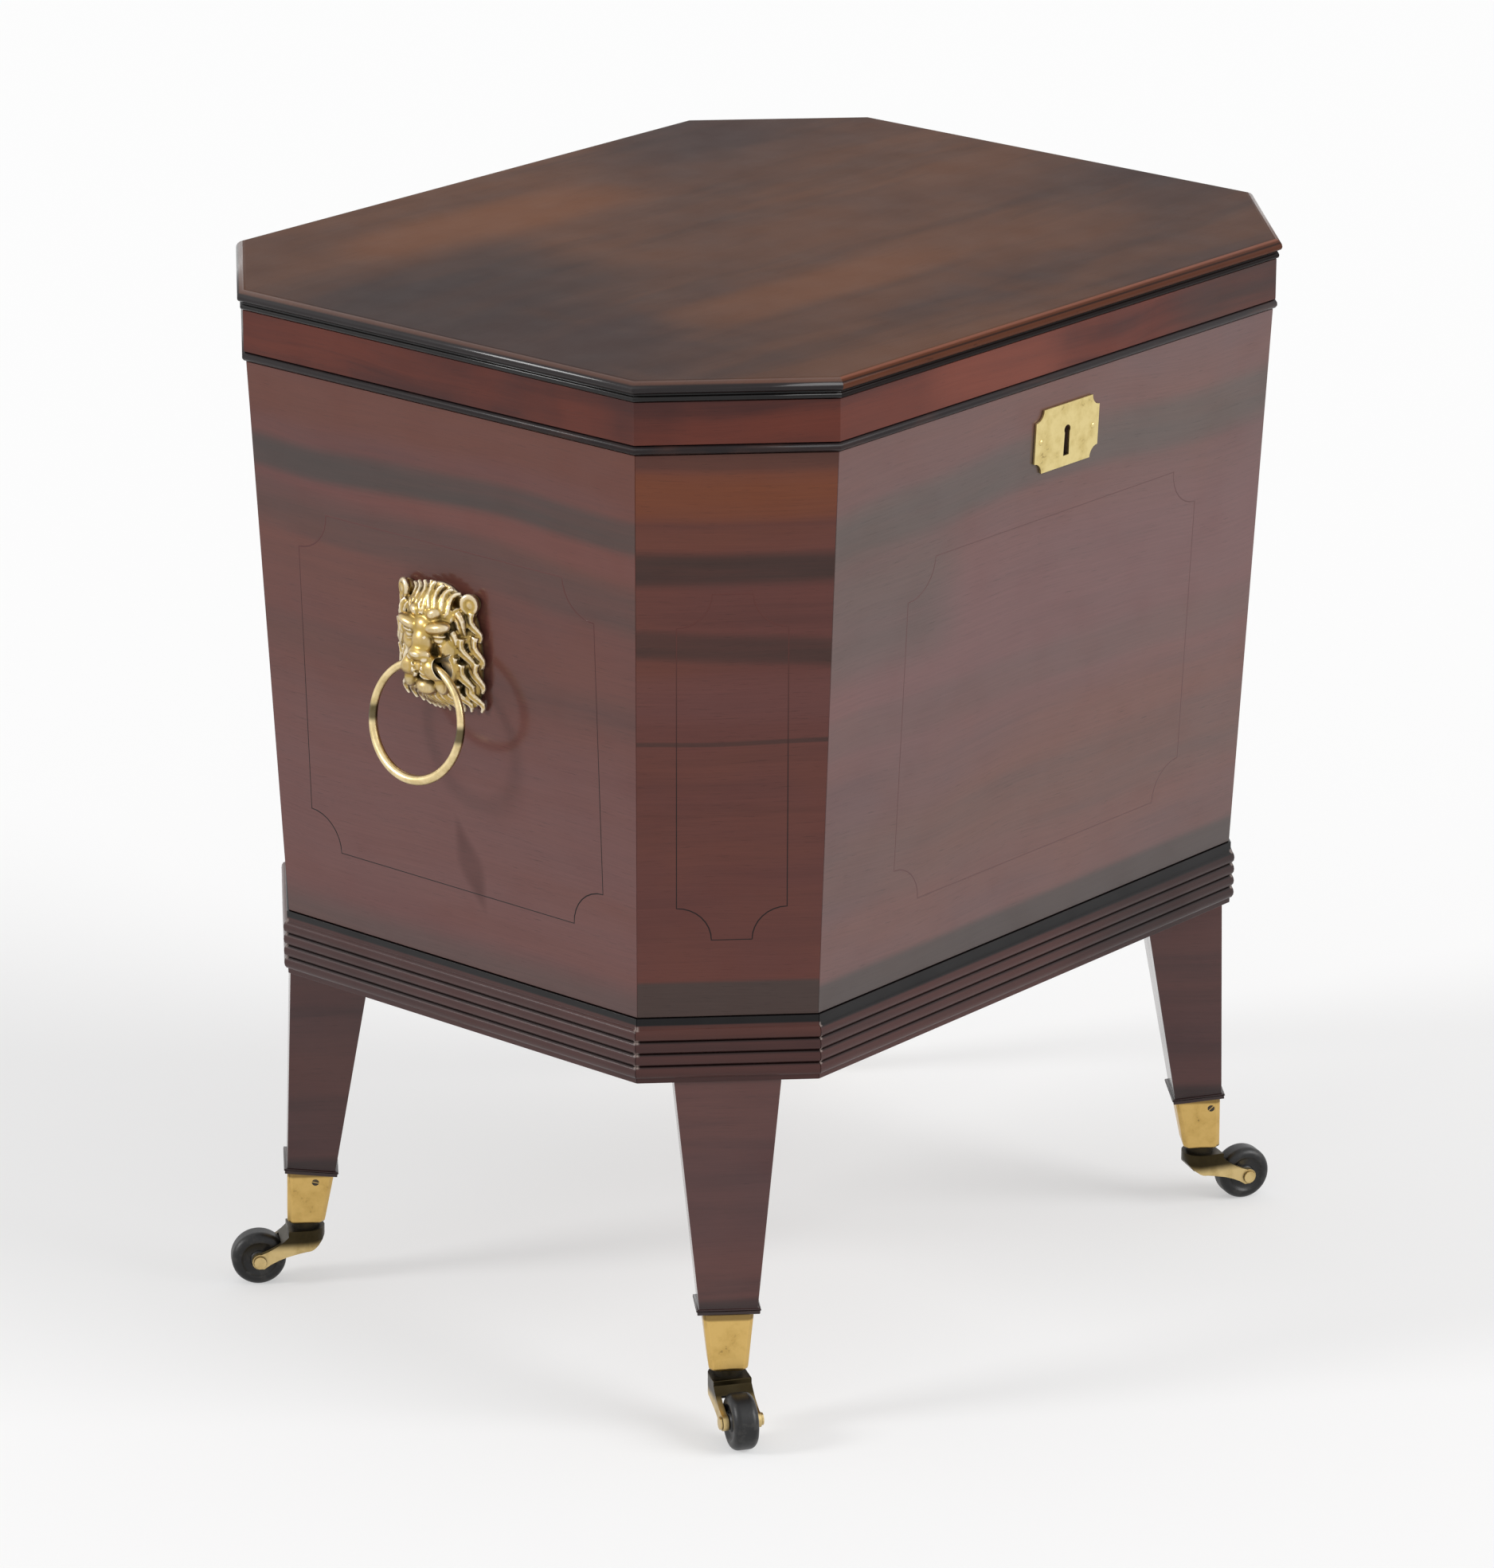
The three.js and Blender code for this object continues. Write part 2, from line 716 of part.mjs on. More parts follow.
function rectangle(deep, wide) {
  return [
    [-deep / 2, -wide / 2],
    [deep / 2, -wide / 2],
    [deep / 2, wide / 2],
    [-deep / 2, wide / 2],
  ];
}

function levelSection(points, z, centre) {
  return points.map(([x, y]) => new THREE.Vector3(centre + x, y, z));
}

// A section of the leg or its cup: level at the cup's foot and square to the leaning leg from the cup's top up
function leaningSection(points, z) {
  const lean = legSlope * Math.min(1, (z - cupZ) / cupHeight);
  return points.map(([x, y]) => new THREE.Vector3(legAxis(z) + x, y, z + lean * x));
}

function cupSize(z, inset) {
  const share = (z - cupZ) / cupHeight;
  return [cupTopDeep, cupTopWide].map((top) => cupFoot + (top - cupFoot) * share - 2 * inset);
}

function leg() {
  const tongue = (z) => leaningSection(rectangle(...cupSize(z, cupWall + clearance)), z);
  const around = (reach, z) => leaningSection(rectangle(ankleDeep + 2 * reach, ankleWide + 2 * reach), z);
  const collarZ = cupTopZ + clearance;
  const lipZ = collarZ + collarHeight;
  const ankleZ = lipZ + lipHeight;
  const topZ = baseZ - clearance;
  const stub = rectangle(stubDeep, stubWide);
  const stubCentre = -baseThickness - clearance - stubDeep / 2;
  return loft([
    tongue(cupZ + cupFloor + clearance),
    tongue(collarZ),
    around(collarReach, collarZ),
    around(collarReach, lipZ),
    around(collarReach + lipReach, lipZ),
    around(collarReach + lipReach, ankleZ),
    around(0, ankleZ),
    levelSection(rectangle(legTopDeep, legTopWide), topZ, legAxis(topZ)),
    levelSection(stub, topZ, stubCentre),
    levelSection(stub, caseZ - bottomBoard - clearance, stubCentre),
  ]);
}

function cupSection(z, inset, corner) {
  const [x, y] = cupSize(z, inset).map((size) => size / 2);
  const outline = [
    [x, corner - y],
    [x, y - corner],
    [x - corner, y],
    [corner - x, y],
    [-x, y - corner],
    [-x, corner - y],
    [corner - x, -y],
    [x - corner, -y],
  ];
  return leaningSection(outline, z);
}

function casterCup() {
  const round = arc(0, cupRound, cupRound, cupRound, -quarter, 0, 3);
  const cup = loft([
    ...round.map(([out, up]) => cupSection(cupZ + up, cupRound - out, cupCorner)),
    cupSection(cupTopZ, 0, cupCorner),
    cupSection(cupTopZ, cupWall, clearance / 2),
    cupSection(cupZ + cupFloor, cupWall, clearance / 2),
  ]);
  const headZ = hornZ - hornWeb - clearance - stemHead;
  const profile = [
    [0, headZ],
    [stemHeadRadius, headZ + stemHead / 2],
    [stemHeadRadius, headZ + stemHead],
    [stemRadius, headZ + stemHead],
    [stemRadius, cupZ + overrun],
    [0, cupZ + overrun],
  ].map(([r, z]) => new THREE.Vector2(r, z));
  const stem = new THREE.LatheGeometry(profile, 16).rotateX(quarter).translate(legAxis(cupZ), 0, 0);
  return join(cup, stem);
}

// The horn, drawn with the trail along x: a neck and a hub round the stem, and two cheeks down to the axle
function casterHorn() {
  const hubBase = hornZ - hornWeb;
  const side = new THREE.Shape();
  const bellyX = trail * hornBellyShare;
  side.moveTo(-hornHub, hornZ);
  side.lineTo(-hornHub, hubBase + hornWeb / 2);
  side.quadraticCurveTo(-hornHub / 2, wheelRadius + hornEye, 0, wheelRadius + hornEye);
  side.quadraticCurveTo(bellyX, wheelRadius + hornEye / 2, trail - hornEye / 2, wheelRadius - hornEye);
  side.absarc(trail, wheelRadius, hornEye, -Math.PI * hornTipShare, Math.PI * hornTipShare, false);
  side.quadraticCurveTo(bellyX, hubBase, hornHub, hornZ - hornWeb * hornShoulderShare);
  side.lineTo(hornHub, hornZ);
  const cheeks = new THREE.ExtrudeGeometry(side, { depth: hornWidth, bevelEnabled: false, curveSegments: 5 });
  cheeks.rotateX(quarter).translate(0, hornWidth / 2, 0);
  const half = hornWidth / 2;
  const reach = trail + 2 * hornEye;
  const heel = arc(0, 0, hornHub, half, quarter, 3 * quarter, 10);
  const planned = extrude(polygon([...heel, [reach, -half], [reach, half]]), cupZ);
  const room = rod(wheelRadius + wheelRoom, wheelWidth + 2 * wheelRoom, "y", wheelFacets);
  room.translate(trail, 0, wheelRadius);
  const under = box(
    [-2 * hornHub, -wheelWidth / 2 - wheelRoom, 0],
    [trail, wheelWidth / 2 + wheelRoom, hubBase],
  );
  const neck = rod(hornNeckRadius, hornNeck + overrun, "z", 20);
  neck.translate(0, 0, hornZ + (hornNeck - overrun) / 2);
  const bore = rod(stemRadius + clearance, 2 * cupZ, "z", 16);
  const eye = rod(axleRadius + clearance, hornWidth + 2 * overrun, "y", 16).translate(trail, 0, wheelRadius);
  return cut(join(common(cheeks, planned), neck), room, under, bore, eye);
}

function casterWheel() {
  const half = wheelWidth / 2;
  const rim = wheelRadius / Math.cos(Math.PI / wheelFacets); // the flats lie on the wheel's true radius
  const edge = rim - wheelCrown - wheelEdge;
  const dish = half - wheelDish;
  const bore = axleRadius + clearance;
  const profile = [
    [bore, -half],
    [wheelHubRadius / 2, -half],
    [wheelHubRadius, -dish],
    ...arc(edge, wheelEdge - half, wheelEdge, wheelEdge, -quarter, 0, 2),
    [rim, 0],
    ...arc(edge, half - wheelEdge, wheelEdge, wheelEdge, 0, quarter, 2),
    [wheelHubRadius, dish],
    [wheelHubRadius / 2, half],
    [bore, half],
    [bore, -half],
  ].map(([r, y]) => new THREE.Vector2(r, y));
  return new THREE.LatheGeometry(profile, wheelFacets).rotateY(Math.PI / wheelFacets);
}

function casterAxle() {
  const length = hornWidth + 2 * clearance;
  const heads = [-1, 1].map((side) => {
    const head = rod(axleHeadRadius, axleHead, "y", 12);
    return head.translate(0, (side * (length + axleHead)) / 2, 0);
  });
  return join(rod(axleRadius, length + axleHead, "y", 16), ...heads);
}

function standOn(k, name) {
  const [a, b] = [corners(basePlan)[k], corners(basePlan)[(k + 1) % sideNames.length]];
  const group = new THREE.Group();
  group.position.set((a[0] + b[0]) / 2, (a[1] + b[1]) / 2, 0);
  const heading = Math.atan2(b[1] - a[1], b[0] - a[0]) - quarter;
  group.rotation.z = heading;
  piece("leg_" + name, "mahogany", leg(), group);
  piece("caster_cup_" + name, "brass", casterCup(), group);
  const caster = new THREE.Group();
  caster.position.x = legAxis(cupZ);
  caster.rotation.z = THREE.MathUtils.degToRad(casterTurns[name]) - heading;
  piece("caster_horn_" + name, "brass", casterHorn(), caster);
  piece("caster_wheel_" + name, "caster", casterWheel(), caster).position.set(trail, 0, wheelRadius);
  piece("caster_axle_" + name, "brass", casterAxle(), caster).position.set(trail, 0, wheelRadius);
  group.add(caster);
  model.add(group);
}

// Base frame: reeds between a plain fillet and the black band, with a ledge for the bottom board
function baseProfile() {
  const valley = -reedDepth;
  const reeds = Array.from({ length: reedCount }, (_, i) => {
    const middle = baseZ + baseFillet + (i + 0.5) * reedPitch;
    return arc(valley, middle, reedDepth, reedPitch / 2, -quarter, quarter, 6).slice(i ? 1 : 0);
  }).flat();
  return [
    [-baseThickness, baseZ],
    [valley, baseZ],
    ...reeds,
    [valley, caseZ],
    [baseLedge - baseThickness, caseZ],
    [baseLedge - baseThickness, caseZ - bottomBoard - clearance],
    [-baseThickness, caseZ - bottomBoard - clearance],
  ];
}

// Lid: moulded top board, frieze and black cock bead
function lidBoardProfile() {
  const widest = lidTopZ - nosingRise;
  const astragalZ = lidBoardZ + astragal / 2;
  const sweep = quarter - astragalDrop;
  return [
    [-friezeInset, lidBoardZ],
    ...arc(-friezeInset, astragalZ, friezeInset / 2, astragal / 2, -sweep, sweep, 4),
    [-quirkDepth, lidBoardZ + astragal + quirkHeight],
    ...arc(-nosingUnder, widest, nosingUnder, nosingUnder, -quarter, 0, 3).slice(0, -1),
    ...arc(-nosingReach, widest, nosingReach, nosingRise, 0, quarter, 5),
  ];
}

function beadProfile() {
  const half = beadHeight / 2;
  const inner = -friezeInset - friezeThickness;
  const nose = arc(-beadInset - half, lidZ + half, half, half, -quarter, quarter, 5);
  return [[inner, lidZ], ...nose, [inner, lidZ + beadHeight]];
}

function friezeProfile() {
  const inner = -friezeInset - friezeThickness;
  const top = friezeZ + friezeHeight;
  return [[inner, friezeZ], [-friezeInset, friezeZ], [-friezeInset, top], [inner, top]];
}

// Zinc liner and the halved divisions that stand in it
function linerTray() {
  const skin = (z, inward) => ringAt(offset(casePlan(z), -wall - clearance - inward), z);
  const floorZ = linerZ + liner;
  return loft([skin(linerZ, 0), skin(linerTopZ, 0), skin(linerTopZ, liner), skin(floorZ, liner)]);
}

function dividerBoard(halfLength, crossings, fromTop) {
  const top = dividerZ + dividerHeight;
  const slot = divider / 2 + clearance;
  const depth = dividerHeight / 2 + clearance;
  const notches = (edge, level) => crossings.flatMap((at) => [
    [at - slot, edge],
    [at - slot, level],
    [at + slot, level],
    [at + slot, edge],
  ]);
  const bottomEdge = fromTop ? [] : notches(dividerZ, dividerZ + depth);
  const topEdge = fromTop ? notches(top, top - depth).reverse() : [];
  const outline = [
    [-halfLength(dividerZ), dividerZ],
    ...bottomEdge,
    [halfLength(dividerZ), dividerZ],
    [halfLength(top), top],
    ...topEdge,
    [-halfLength(top), top],
  ];
  return extrude(polygon(outline), divider).translate(0, 0, -divider / 2);
}

function dividerPlaces(count, span) {
  return Array.from({ length: count - 1 }, (_, i) => span * ((i + 1) / count - 0.5));
}

function divisions() {
  const room = wall + liner + 2 * clearance;
  const inside = offset(casePlan(dividerZ), -room);
  const columns = dividerPlaces(dividerColumns, inside.width);
  const rows = dividerPlaces(dividerRows, inside.depth);
  const halfWidth = (z) => casePlan(z).width / 2 - room;
  const halfDepth = (z) => casePlan(z).depth / 2 - room;
  ["front", "back"].forEach((name, i) => {
    const board = dividerBoard(halfWidth, columns, true).rotateX(quarter);
    piece("divider_long_" + name, "carcase", board.translate(0, rows[i], 0));
  });
  ["left", "middle", "right"].forEach((name, i) => {
    const board = dividerBoard(halfDepth, rows, false).rotateX(quarter).rotateZ(quarter);
    piece("divider_cross_" + name, "carcase", board.translate(columns[i], 0, 0));
  });
}

// Assembly
const hingeNames = { left: -hingeSpacing / 2, right: hingeSpacing / 2 };
const wallCuts = {
  front: () => [lockBody(clearance), keyway(keyholeRoom, keywayDepth)],
  back: () => Object.values(hingeNames).map((x) => hingeRoom(x, false)),
  left: () => [studRoom(-1)],
  right: () => [studRoom(1)],
};

sideNames.forEach((name, k) => {
  const board = wallBoard(k);
  const cuts = wallCuts[name]?.() ?? [];
  piece("case_" + name, "mahogany", cuts.length ? cut(board, ...cuts) : board);
  piece("base_" + name, "crossbanding", mitredLength(baseProfile(), basePlan, k));
});
const bottomInset = baseLedge - baseThickness - clearance;
piece("case_bottom", "carcase", stack([[bottomInset, caseZ - bottomBoard], [bottomInset, caseZ]], basePlan));

piece("lid_top", "mahogany", stack(lidBoardProfile(), lidPlan));
piece("lid_frieze", "crossbanding", frame(friezeProfile(), lidPlan));
const beadRooms = [...Object.values(hingeNames).map((x) => hingeRoom(x, true)), linkPlateBox(clearance)];
piece("lid_bead", "ebonised", cut(frame(beadProfile(), lidPlan), ...beadRooms));

for (const [name, x] of Object.entries(hingeNames)) {
  piece("hinge_case_leaf_" + name, "brass", leaf(x, false));
  piece("hinge_lid_leaf_" + name, "brass", leaf(x, true));
  piece("hinge_pin_" + name, "brass", hingeLine(hingePin, hingeLength, x));
}

piece("lock_case", "brass", lockCase());
piece("lock_bolt", "brass", lockBolt());
piece("lock_link_plate", "brass", lockLinkPlate());
piece("escutcheon", "brass", escutcheon());

handle(-1, "left");
handle(1, "right");

const cantPrefix = "cant_";
sideNames.forEach((name, k) => {
  if (name.startsWith(cantPrefix)) standOn(k, name.slice(cantPrefix.length));
});

piece("liner", "zinc", linerTray());
divisions();

export default model;
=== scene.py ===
"""A mahogany cellarette, dressed for the photograph: polished veneers, ebony lines, worn brass and casters."""

import json
import logging
import math
from collections.abc import Callable, Iterable, Sequence
from dataclasses import dataclass, field, replace
from enum import Enum

import bpy
from mathutils import Matrix, Vector


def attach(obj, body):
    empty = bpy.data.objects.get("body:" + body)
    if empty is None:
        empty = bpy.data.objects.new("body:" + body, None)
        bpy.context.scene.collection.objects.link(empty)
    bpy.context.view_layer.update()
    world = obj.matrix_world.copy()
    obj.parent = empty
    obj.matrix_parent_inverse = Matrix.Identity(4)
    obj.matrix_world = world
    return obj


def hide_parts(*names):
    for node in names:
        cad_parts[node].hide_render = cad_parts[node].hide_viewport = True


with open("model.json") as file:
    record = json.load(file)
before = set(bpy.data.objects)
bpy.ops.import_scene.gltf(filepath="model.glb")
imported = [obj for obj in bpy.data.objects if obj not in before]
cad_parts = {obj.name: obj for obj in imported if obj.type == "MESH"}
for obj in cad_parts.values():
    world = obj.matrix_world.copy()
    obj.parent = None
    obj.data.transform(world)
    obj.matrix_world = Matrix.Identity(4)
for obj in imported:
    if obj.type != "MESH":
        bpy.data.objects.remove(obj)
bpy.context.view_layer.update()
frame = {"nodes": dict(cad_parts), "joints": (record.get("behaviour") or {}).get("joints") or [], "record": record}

log = logging.getLogger("cellarette")

MM = 0.001
SIDES = (
    "front", "cant_front_right", "right", "cant_back_right",
    "back", "cant_back_left", "left", "cant_front_left",
)
CORNERS = ("front_right", "back_right", "back_left", "front_left")
MITRE = math.tau / len(SIDES) / 2
ARC_STEPS = 8
LONG_EDGE = 50.0 * MM
UP = Vector((0, 0, 1))
Colour = tuple[float, float, float]
Piece = bpy.types.Object
Material = bpy.types.Material
Socket = bpy.types.NodeSocket


def srgb(code: str) -> Colour:
    """Turns a six-digit colour code into the linear colour that the shaders take.

    Args:
        code: Red, green and blue as two hexadecimal digits each.

    Returns:
        The linear colour.
    """

    def linear(value: float) -> float:
        """Takes the screen's curve out of one channel."""
        return value / 12.92 if value <= 0.04045 else ((value + 0.055) / 1.055) ** 2.4

    return tuple(linear(int(code[i : i + 2], 16) / 255) for i in (0, 2, 4))


# Shaders: numbers and colours that vary over a surface


def maths(operation: str, swapped: bool = False) -> Callable[["Signal", "Signal | float"], "Signal"]:
    """Writes one of Signal's methods, which adds a Math node.

    Args:
        operation: The node's operation.
        swapped: Whether the other value comes first.

    Returns:
        The method.
    """

    def method(signal: "Signal", other: "Signal | float") -> "Signal":
        """Joins the signal and another value in one Math node."""
        pair = (other, signal) if swapped else (signal, other)
        node = signal.graph.node("Math", {"operation": operation}, dict(enumerate(pair)))
        return Signal(signal.graph, node.outputs[0])

    return method


class Signal:
    """A shader socket that takes part in Python expressions: each operator adds its Math node."""

    __add__ = __radd__ = maths("ADD")
    __sub__ = maths("SUBTRACT")
    __rsub__ = maths("SUBTRACT", swapped=True)
    __mul__ = __rmul__ = maths("MULTIPLY")
    most = maths("MAXIMUM")
    least = maths("MINIMUM")

    def __init__(self, graph: "Graph", socket: Socket) -> None:
        """Wraps a socket of a graph."""
        self.graph = graph
        self.socket = socket

    def step(self, low: float, high: float) -> "Signal":
        """Rises smoothly from 0 at low to 1 at high, or falls where low is the higher.

        Args:
            low: Where the result is 0.
            high: Where the result is 1.

        Returns:
            The eased value.
        """
        falls = low > high
        ends = {"From Min": min(low, high), "From Max": max(low, high)}
        settings = {"interpolation_type": "SMOOTHSTEP"}
        node = self.graph.node("MapRange", settings, {"Value": self, **ends})
        eased = Signal(self.graph, node.outputs[0])
        return 1 - eased if falls else eased


class Graph:
    """A node tree that is built from expressions."""

    def __init__(self, owner: bpy.types.ID, output: str) -> None:
        """Empties the tree of a material or a world and gives it an output.

        Args:
            owner: The material or world.
            output: The type of its output node, without the ShaderNode prefix.
        """
        owner.use_nodes = True
        self.tree = owner.node_tree
        self.tree.nodes.clear()
        self.output = self.node(output)

    def node(self, kind: str, settings: dict | None = None, inputs: dict | None = None) -> bpy.types.Node:
        """Adds a node.

        Args:
            kind: The node's type, without its ShaderNode prefix.
            settings: Properties, which are set first.
            inputs: Values or links by socket name or number.

        Returns:
            The node.
        """
        made = self.tree.nodes.new("ShaderNode" + kind)
        for name, value in (settings or {}).items():
            setattr(made, name, value)
        for name, value in (inputs or {}).items():
            self.feed(made.inputs[name], value)
        return made

    def feed(self, socket: Socket, value: object) -> None:
        """Links a signal or a socket, or sets a constant.

        Args:
            socket: What is fed.
            value: A Signal, a socket, a number or a vector.
        """
        if isinstance(value, Signal):
            self.tree.links.new(value.socket, socket)
        elif isinstance(value, Socket):
            self.tree.links.new(value, socket)
        elif isinstance(value, tuple) and socket.type == "RGBA":
            socket.default_value = (*value, 1)
        else:
            socket.default_value = value

    def place(self, turn: float = 0, scale: Sequence[float] = (1, 1, 1)) -> Socket:
        """The surface point, turned about Z and then scaled.

        Args:
            turn: Turn about Z in radians.
            scale: Scale along each turned axis.

        Returns:
            The vector socket.
        """
        point = self.node("TexCoord").outputs["Object"]
        turned = self.node("Mapping", None, {0: point, "Rotation": (0, 0, turn)}).outputs[0]
        return self.node("Mapping", None, {0: turned, "Scale": tuple(scale)}).outputs[0]

    def axis(self, name: str, turn: float = 0) -> Signal:
        """One coordinate of the surface point in metres, after a turn about Z."""
        parts = self.node("SeparateXYZ", None, {0: self.place(turn)})
        return Signal(self, parts.outputs[name])

    def noise(
        self, vector: object, scale: float = 1, detail: float = 3, rough: float = 0.5, warp: float = 0
    ) -> Signal:
        """Fractal noise between 0 and 1, from its features per metre, its octaves, their share and its swirl."""
        inputs = {"Vector": vector, "Scale": scale, "Detail": detail, "Roughness": rough, "Distortion": warp}
        return Signal(self, self.node("TexNoise", None, inputs).outputs[0])

    def blend(self, factor: "Signal | float", first: object, second: object, mode: str = "MIX") -> Socket:
        """Mixes two colours or colour sockets, where the factor is the second one's share."""
        settings = {"data_type": "RGBA", "blend_type": mode}
        return self.node("Mix", settings, {0: factor, 6: first, 7: second}).outputs[2]

    def relief(self, height: Signal, distance: float, strength: float) -> Socket:
        """The normal of a relief between 0 and 1 that is some metres deep, shown with a strength."""
        inputs = {"Height": height, "Distance": distance, "Strength": strength}
        return self.node("Bump", None, inputs).outputs[0]

    def vector(self, x: "Signal | float", y: "Signal | float", z: "Signal | float") -> Socket:
        """Joins three numbers into a vector."""
        return self.node("CombineXYZ", None, {0: x, 1: y, 2: z}).outputs[0]


class Surface(Graph):
    """The node tree of one material, round a Principled shader."""

    def __init__(self, name: str) -> None:
        """Starts the material of a finish."""
        self.material = bpy.data.materials.new(name)
        super().__init__(self.material, "OutputMaterial")
        self.shader = self.node("BsdfPrincipled")
        self.tree.links.new(self.shader.outputs[0], self.output.inputs[0])

    def done(self, sockets: dict[str, object]) -> Material:
        """Feeds the shader's sockets.

        Args:
            sockets: Values or links by socket name.

        Returns:
            The material.
        """
        for name, value in sockets.items():
            self.feed(self.shader.inputs[name], value)
        return self.material


@dataclass(frozen=True)
class Smoke:
    """A smoky level band in a veneer, as heartwood shows, and on the front of the base a band of painted shade."""

    height: float
    half: float
    strength: float
    slope: float = 0.0
    centre: float = 0.0
    reach: float = 1.0
    tone: str = ""


@dataclass(frozen=True)
class Stripe:
    """A level stripe of its own colour, fading at both edges, that the drift of the grain leaves straight."""

    low: float
    high: float
    colour: str
    strength: float = 1.0
    soft: float = 0.0006

    def laid(self, g: Graph, height: Signal, colour: object) -> object:
        """Lays the stripe over a colour.

        Args:
            g: The node tree.
            height: The height of the surface point in metres.
            colour: The colour below.

        Returns:
            The colour socket.
        """
        above = height.step(self.low - self.soft, self.low + self.soft)
        below = height.step(self.high + self.soft, self.high - self.soft)
        return g.blend(above * below * self.strength, colour, srgb(self.colour))


@dataclass(frozen=True)
class PaleSpot:
    """Small pale spots at both ends of a reeded length, where its mitres meet the next ones."""

    half: float
    levels: tuple[float, ...]
    colour: str = "9a8a84"
    strength: float = 0.7
    end: tuple[float, float] = (2.6 * MM, 1.0 * MM)
    spot: tuple[float, float] = (1.5 * MM, 0.6 * MM)

    def laid(self, g: Graph, along: Signal, height: Signal, colour: object) -> object:
        """Lays the spots over a colour.

        Args:
            g: The node tree.
            along: The way along the length in metres, from its middle.
            height: The height of the surface point in metres.
            colour: The colour below.

        Returns:
            The colour socket.
        """
        ends = (along * along).step(*((self.half - gap) ** 2 for gap in self.end))
        for level in self.levels:
            off = height - level
            spot = (off * off).step(*(reach**2 for reach in self.spot))
            colour = g.blend(ends * spot * self.strength, colour, srgb(self.colour))
        return colour


@dataclass(frozen=True)
class Mahogany:
    """French-polished mahogany whose figure runs along one heading."""

    name: str
    ground: str = "5d3029"
    warm: str = "6d3a2b"
    deep: str = "40211f"
    smoke: str = "3c3532"
    heading: float = 0.0
    seed: float = 0.0
    bands: tuple[Smoke, ...] = ()
    stripes: tuple[Stripe, ...] = ()
    pale_spots: tuple[PaleSpot, ...] = ()
    band_scale: float = 10.0
    streak_scale: float = 60.0
    streak_share: float = 0.55
    flame_share: float = 0.35
    coat: float = 0.9
    coat_roughness: float = 0.13
    gloss: float = 0.12
    pore: float = 0.3
    wander: float = 0.045
    fibre_scale: float = 1100.0
    pore_scale: float = 2600.0
    lying: bool = False

    def material(self) -> Material:
        """Builds the finish.

        Returns:
            The material.
        """
        g = Surface(self.name)
        x, y, z = (g.axis(name, -self.heading) for name in "XYZ")
        height = z
        along, across, level = (x, z, y) if self.lying else (x, y, z)
        drift = g.noise(g.vector(along * 3.1 + self.seed, across * 3.1, level * 2.3), detail=2)
        level = level + (drift - 0.5) * self.wander
        seed = self.seed * 7.3
        broad = g.noise(g.vector(along * 2.2, across * 2.2, level * self.band_scale + seed), detail=4, rough=0.55)
        fine = level * self.streak_scale + seed
        streak = g.noise(g.vector(along * 3.4, across * 3.4, fine), detail=5, rough=0.6)
        flame = g.noise(g.vector(along * 11 + seed, across * 11, level * 8), detail=3, warp=0.6)
        fibre = g.noise(g.vector(along * 26, across * 26, level * self.fibre_scale), detail=2)
        pores = g.noise(g.vector(along * 90, across * 90, level * self.pore_scale + seed), detail=1)
        pores = pores.step(0.66, 0.74)
        colour = g.blend(broad.step(0.36, 0.64), srgb(self.ground), srgb(self.warm))
        colour = g.blend(flame.step(0.48, 0.7) * self.flame_share, colour, srgb(self.warm))
        colour = g.blend(streak.step(0.46, 0.7) * self.streak_share, colour, srgb(self.deep))
        for band in self.bands:
            lifted = level - band.height - (along - band.centre) * band.slope
            mask = (lifted * lifted).step(band.half**2 * 2.2, band.half**2 * 0.1)
            if band.reach < 1:
                off = along - band.centre
                mask = mask * (off * off).step(band.reach**2, band.reach**2 * 0.15)
            ragged = streak.step(0.25, 0.6) * 0.4 + 0.6
            colour = g.blend(mask * ragged * band.strength, colour, srgb(band.tone or self.smoke))
        for stripe in self.stripes:
            colour = stripe.laid(g, height, colour)
        # Pale spots at the mitres of reeded lengths.
        for rub in self.pale_spots:
            colour = rub.laid(g, x, height, colour)
        colour = g.blend(0.5, colour, fibre * 0.5 + 0.75, "MULTIPLY")
        colour = g.blend(pores * self.pore, colour, srgb("1c0f0d"))
        worn = g.noise(g.place(), scale=34, detail=3)
        relief = g.relief(fibre * 0.5 - pores, 0.05 * MM, 0.5)
        return g.done({
            "Base Color": colour,
            "Roughness": worn * 0.16 + 0.34,
            "Specular IOR Level": self.gloss,
            "Coat Weight": (worn.step(0.85, 0.4) * 0.2 + 0.8) * self.coat,
            "Coat Roughness": self.coat_roughness,
            "Coat IOR": 1.4,
            "Normal": relief,
        })


@dataclass(frozen=True)
class Ebonised:
    """Black polished wood with brown rub marks."""

    name: str = "ebonised_wood"
    black: str = "1d1617"
    rubbed: str = "4a3029"
    coat: float = 0.3
    fade: tuple[float, float] = (2.0, 3.0)
    ground: str = "54302a"

    def material(self) -> Material:
        """Builds the finish.

        Returns:
            The material.
        """
        g = Surface(self.name)
        grain = g.noise(g.place(scale=(6, 6, 700)), detail=2)
        rub = g.noise(g.place(scale=(9, 9, 60)), detail=4, rough=0.65)
        colour = g.blend(rub.step(0.52, 0.72) * 0.6, srgb(self.black), srgb(self.rubbed))
        colour = g.blend(g.axis("Z").step(*self.fade), colour, srgb(self.ground))
        return g.done({
            "Base Color": colour,
            "Roughness": rub * 0.2 + 0.28,
            "Specular IOR Level": 0.15,
            "Coat Weight": self.coat,
            "Coat Roughness": 0.12,
            "Coat IOR": 1.4,
            "Normal": g.relief(grain, 0.04 * MM, 0.4),
        })


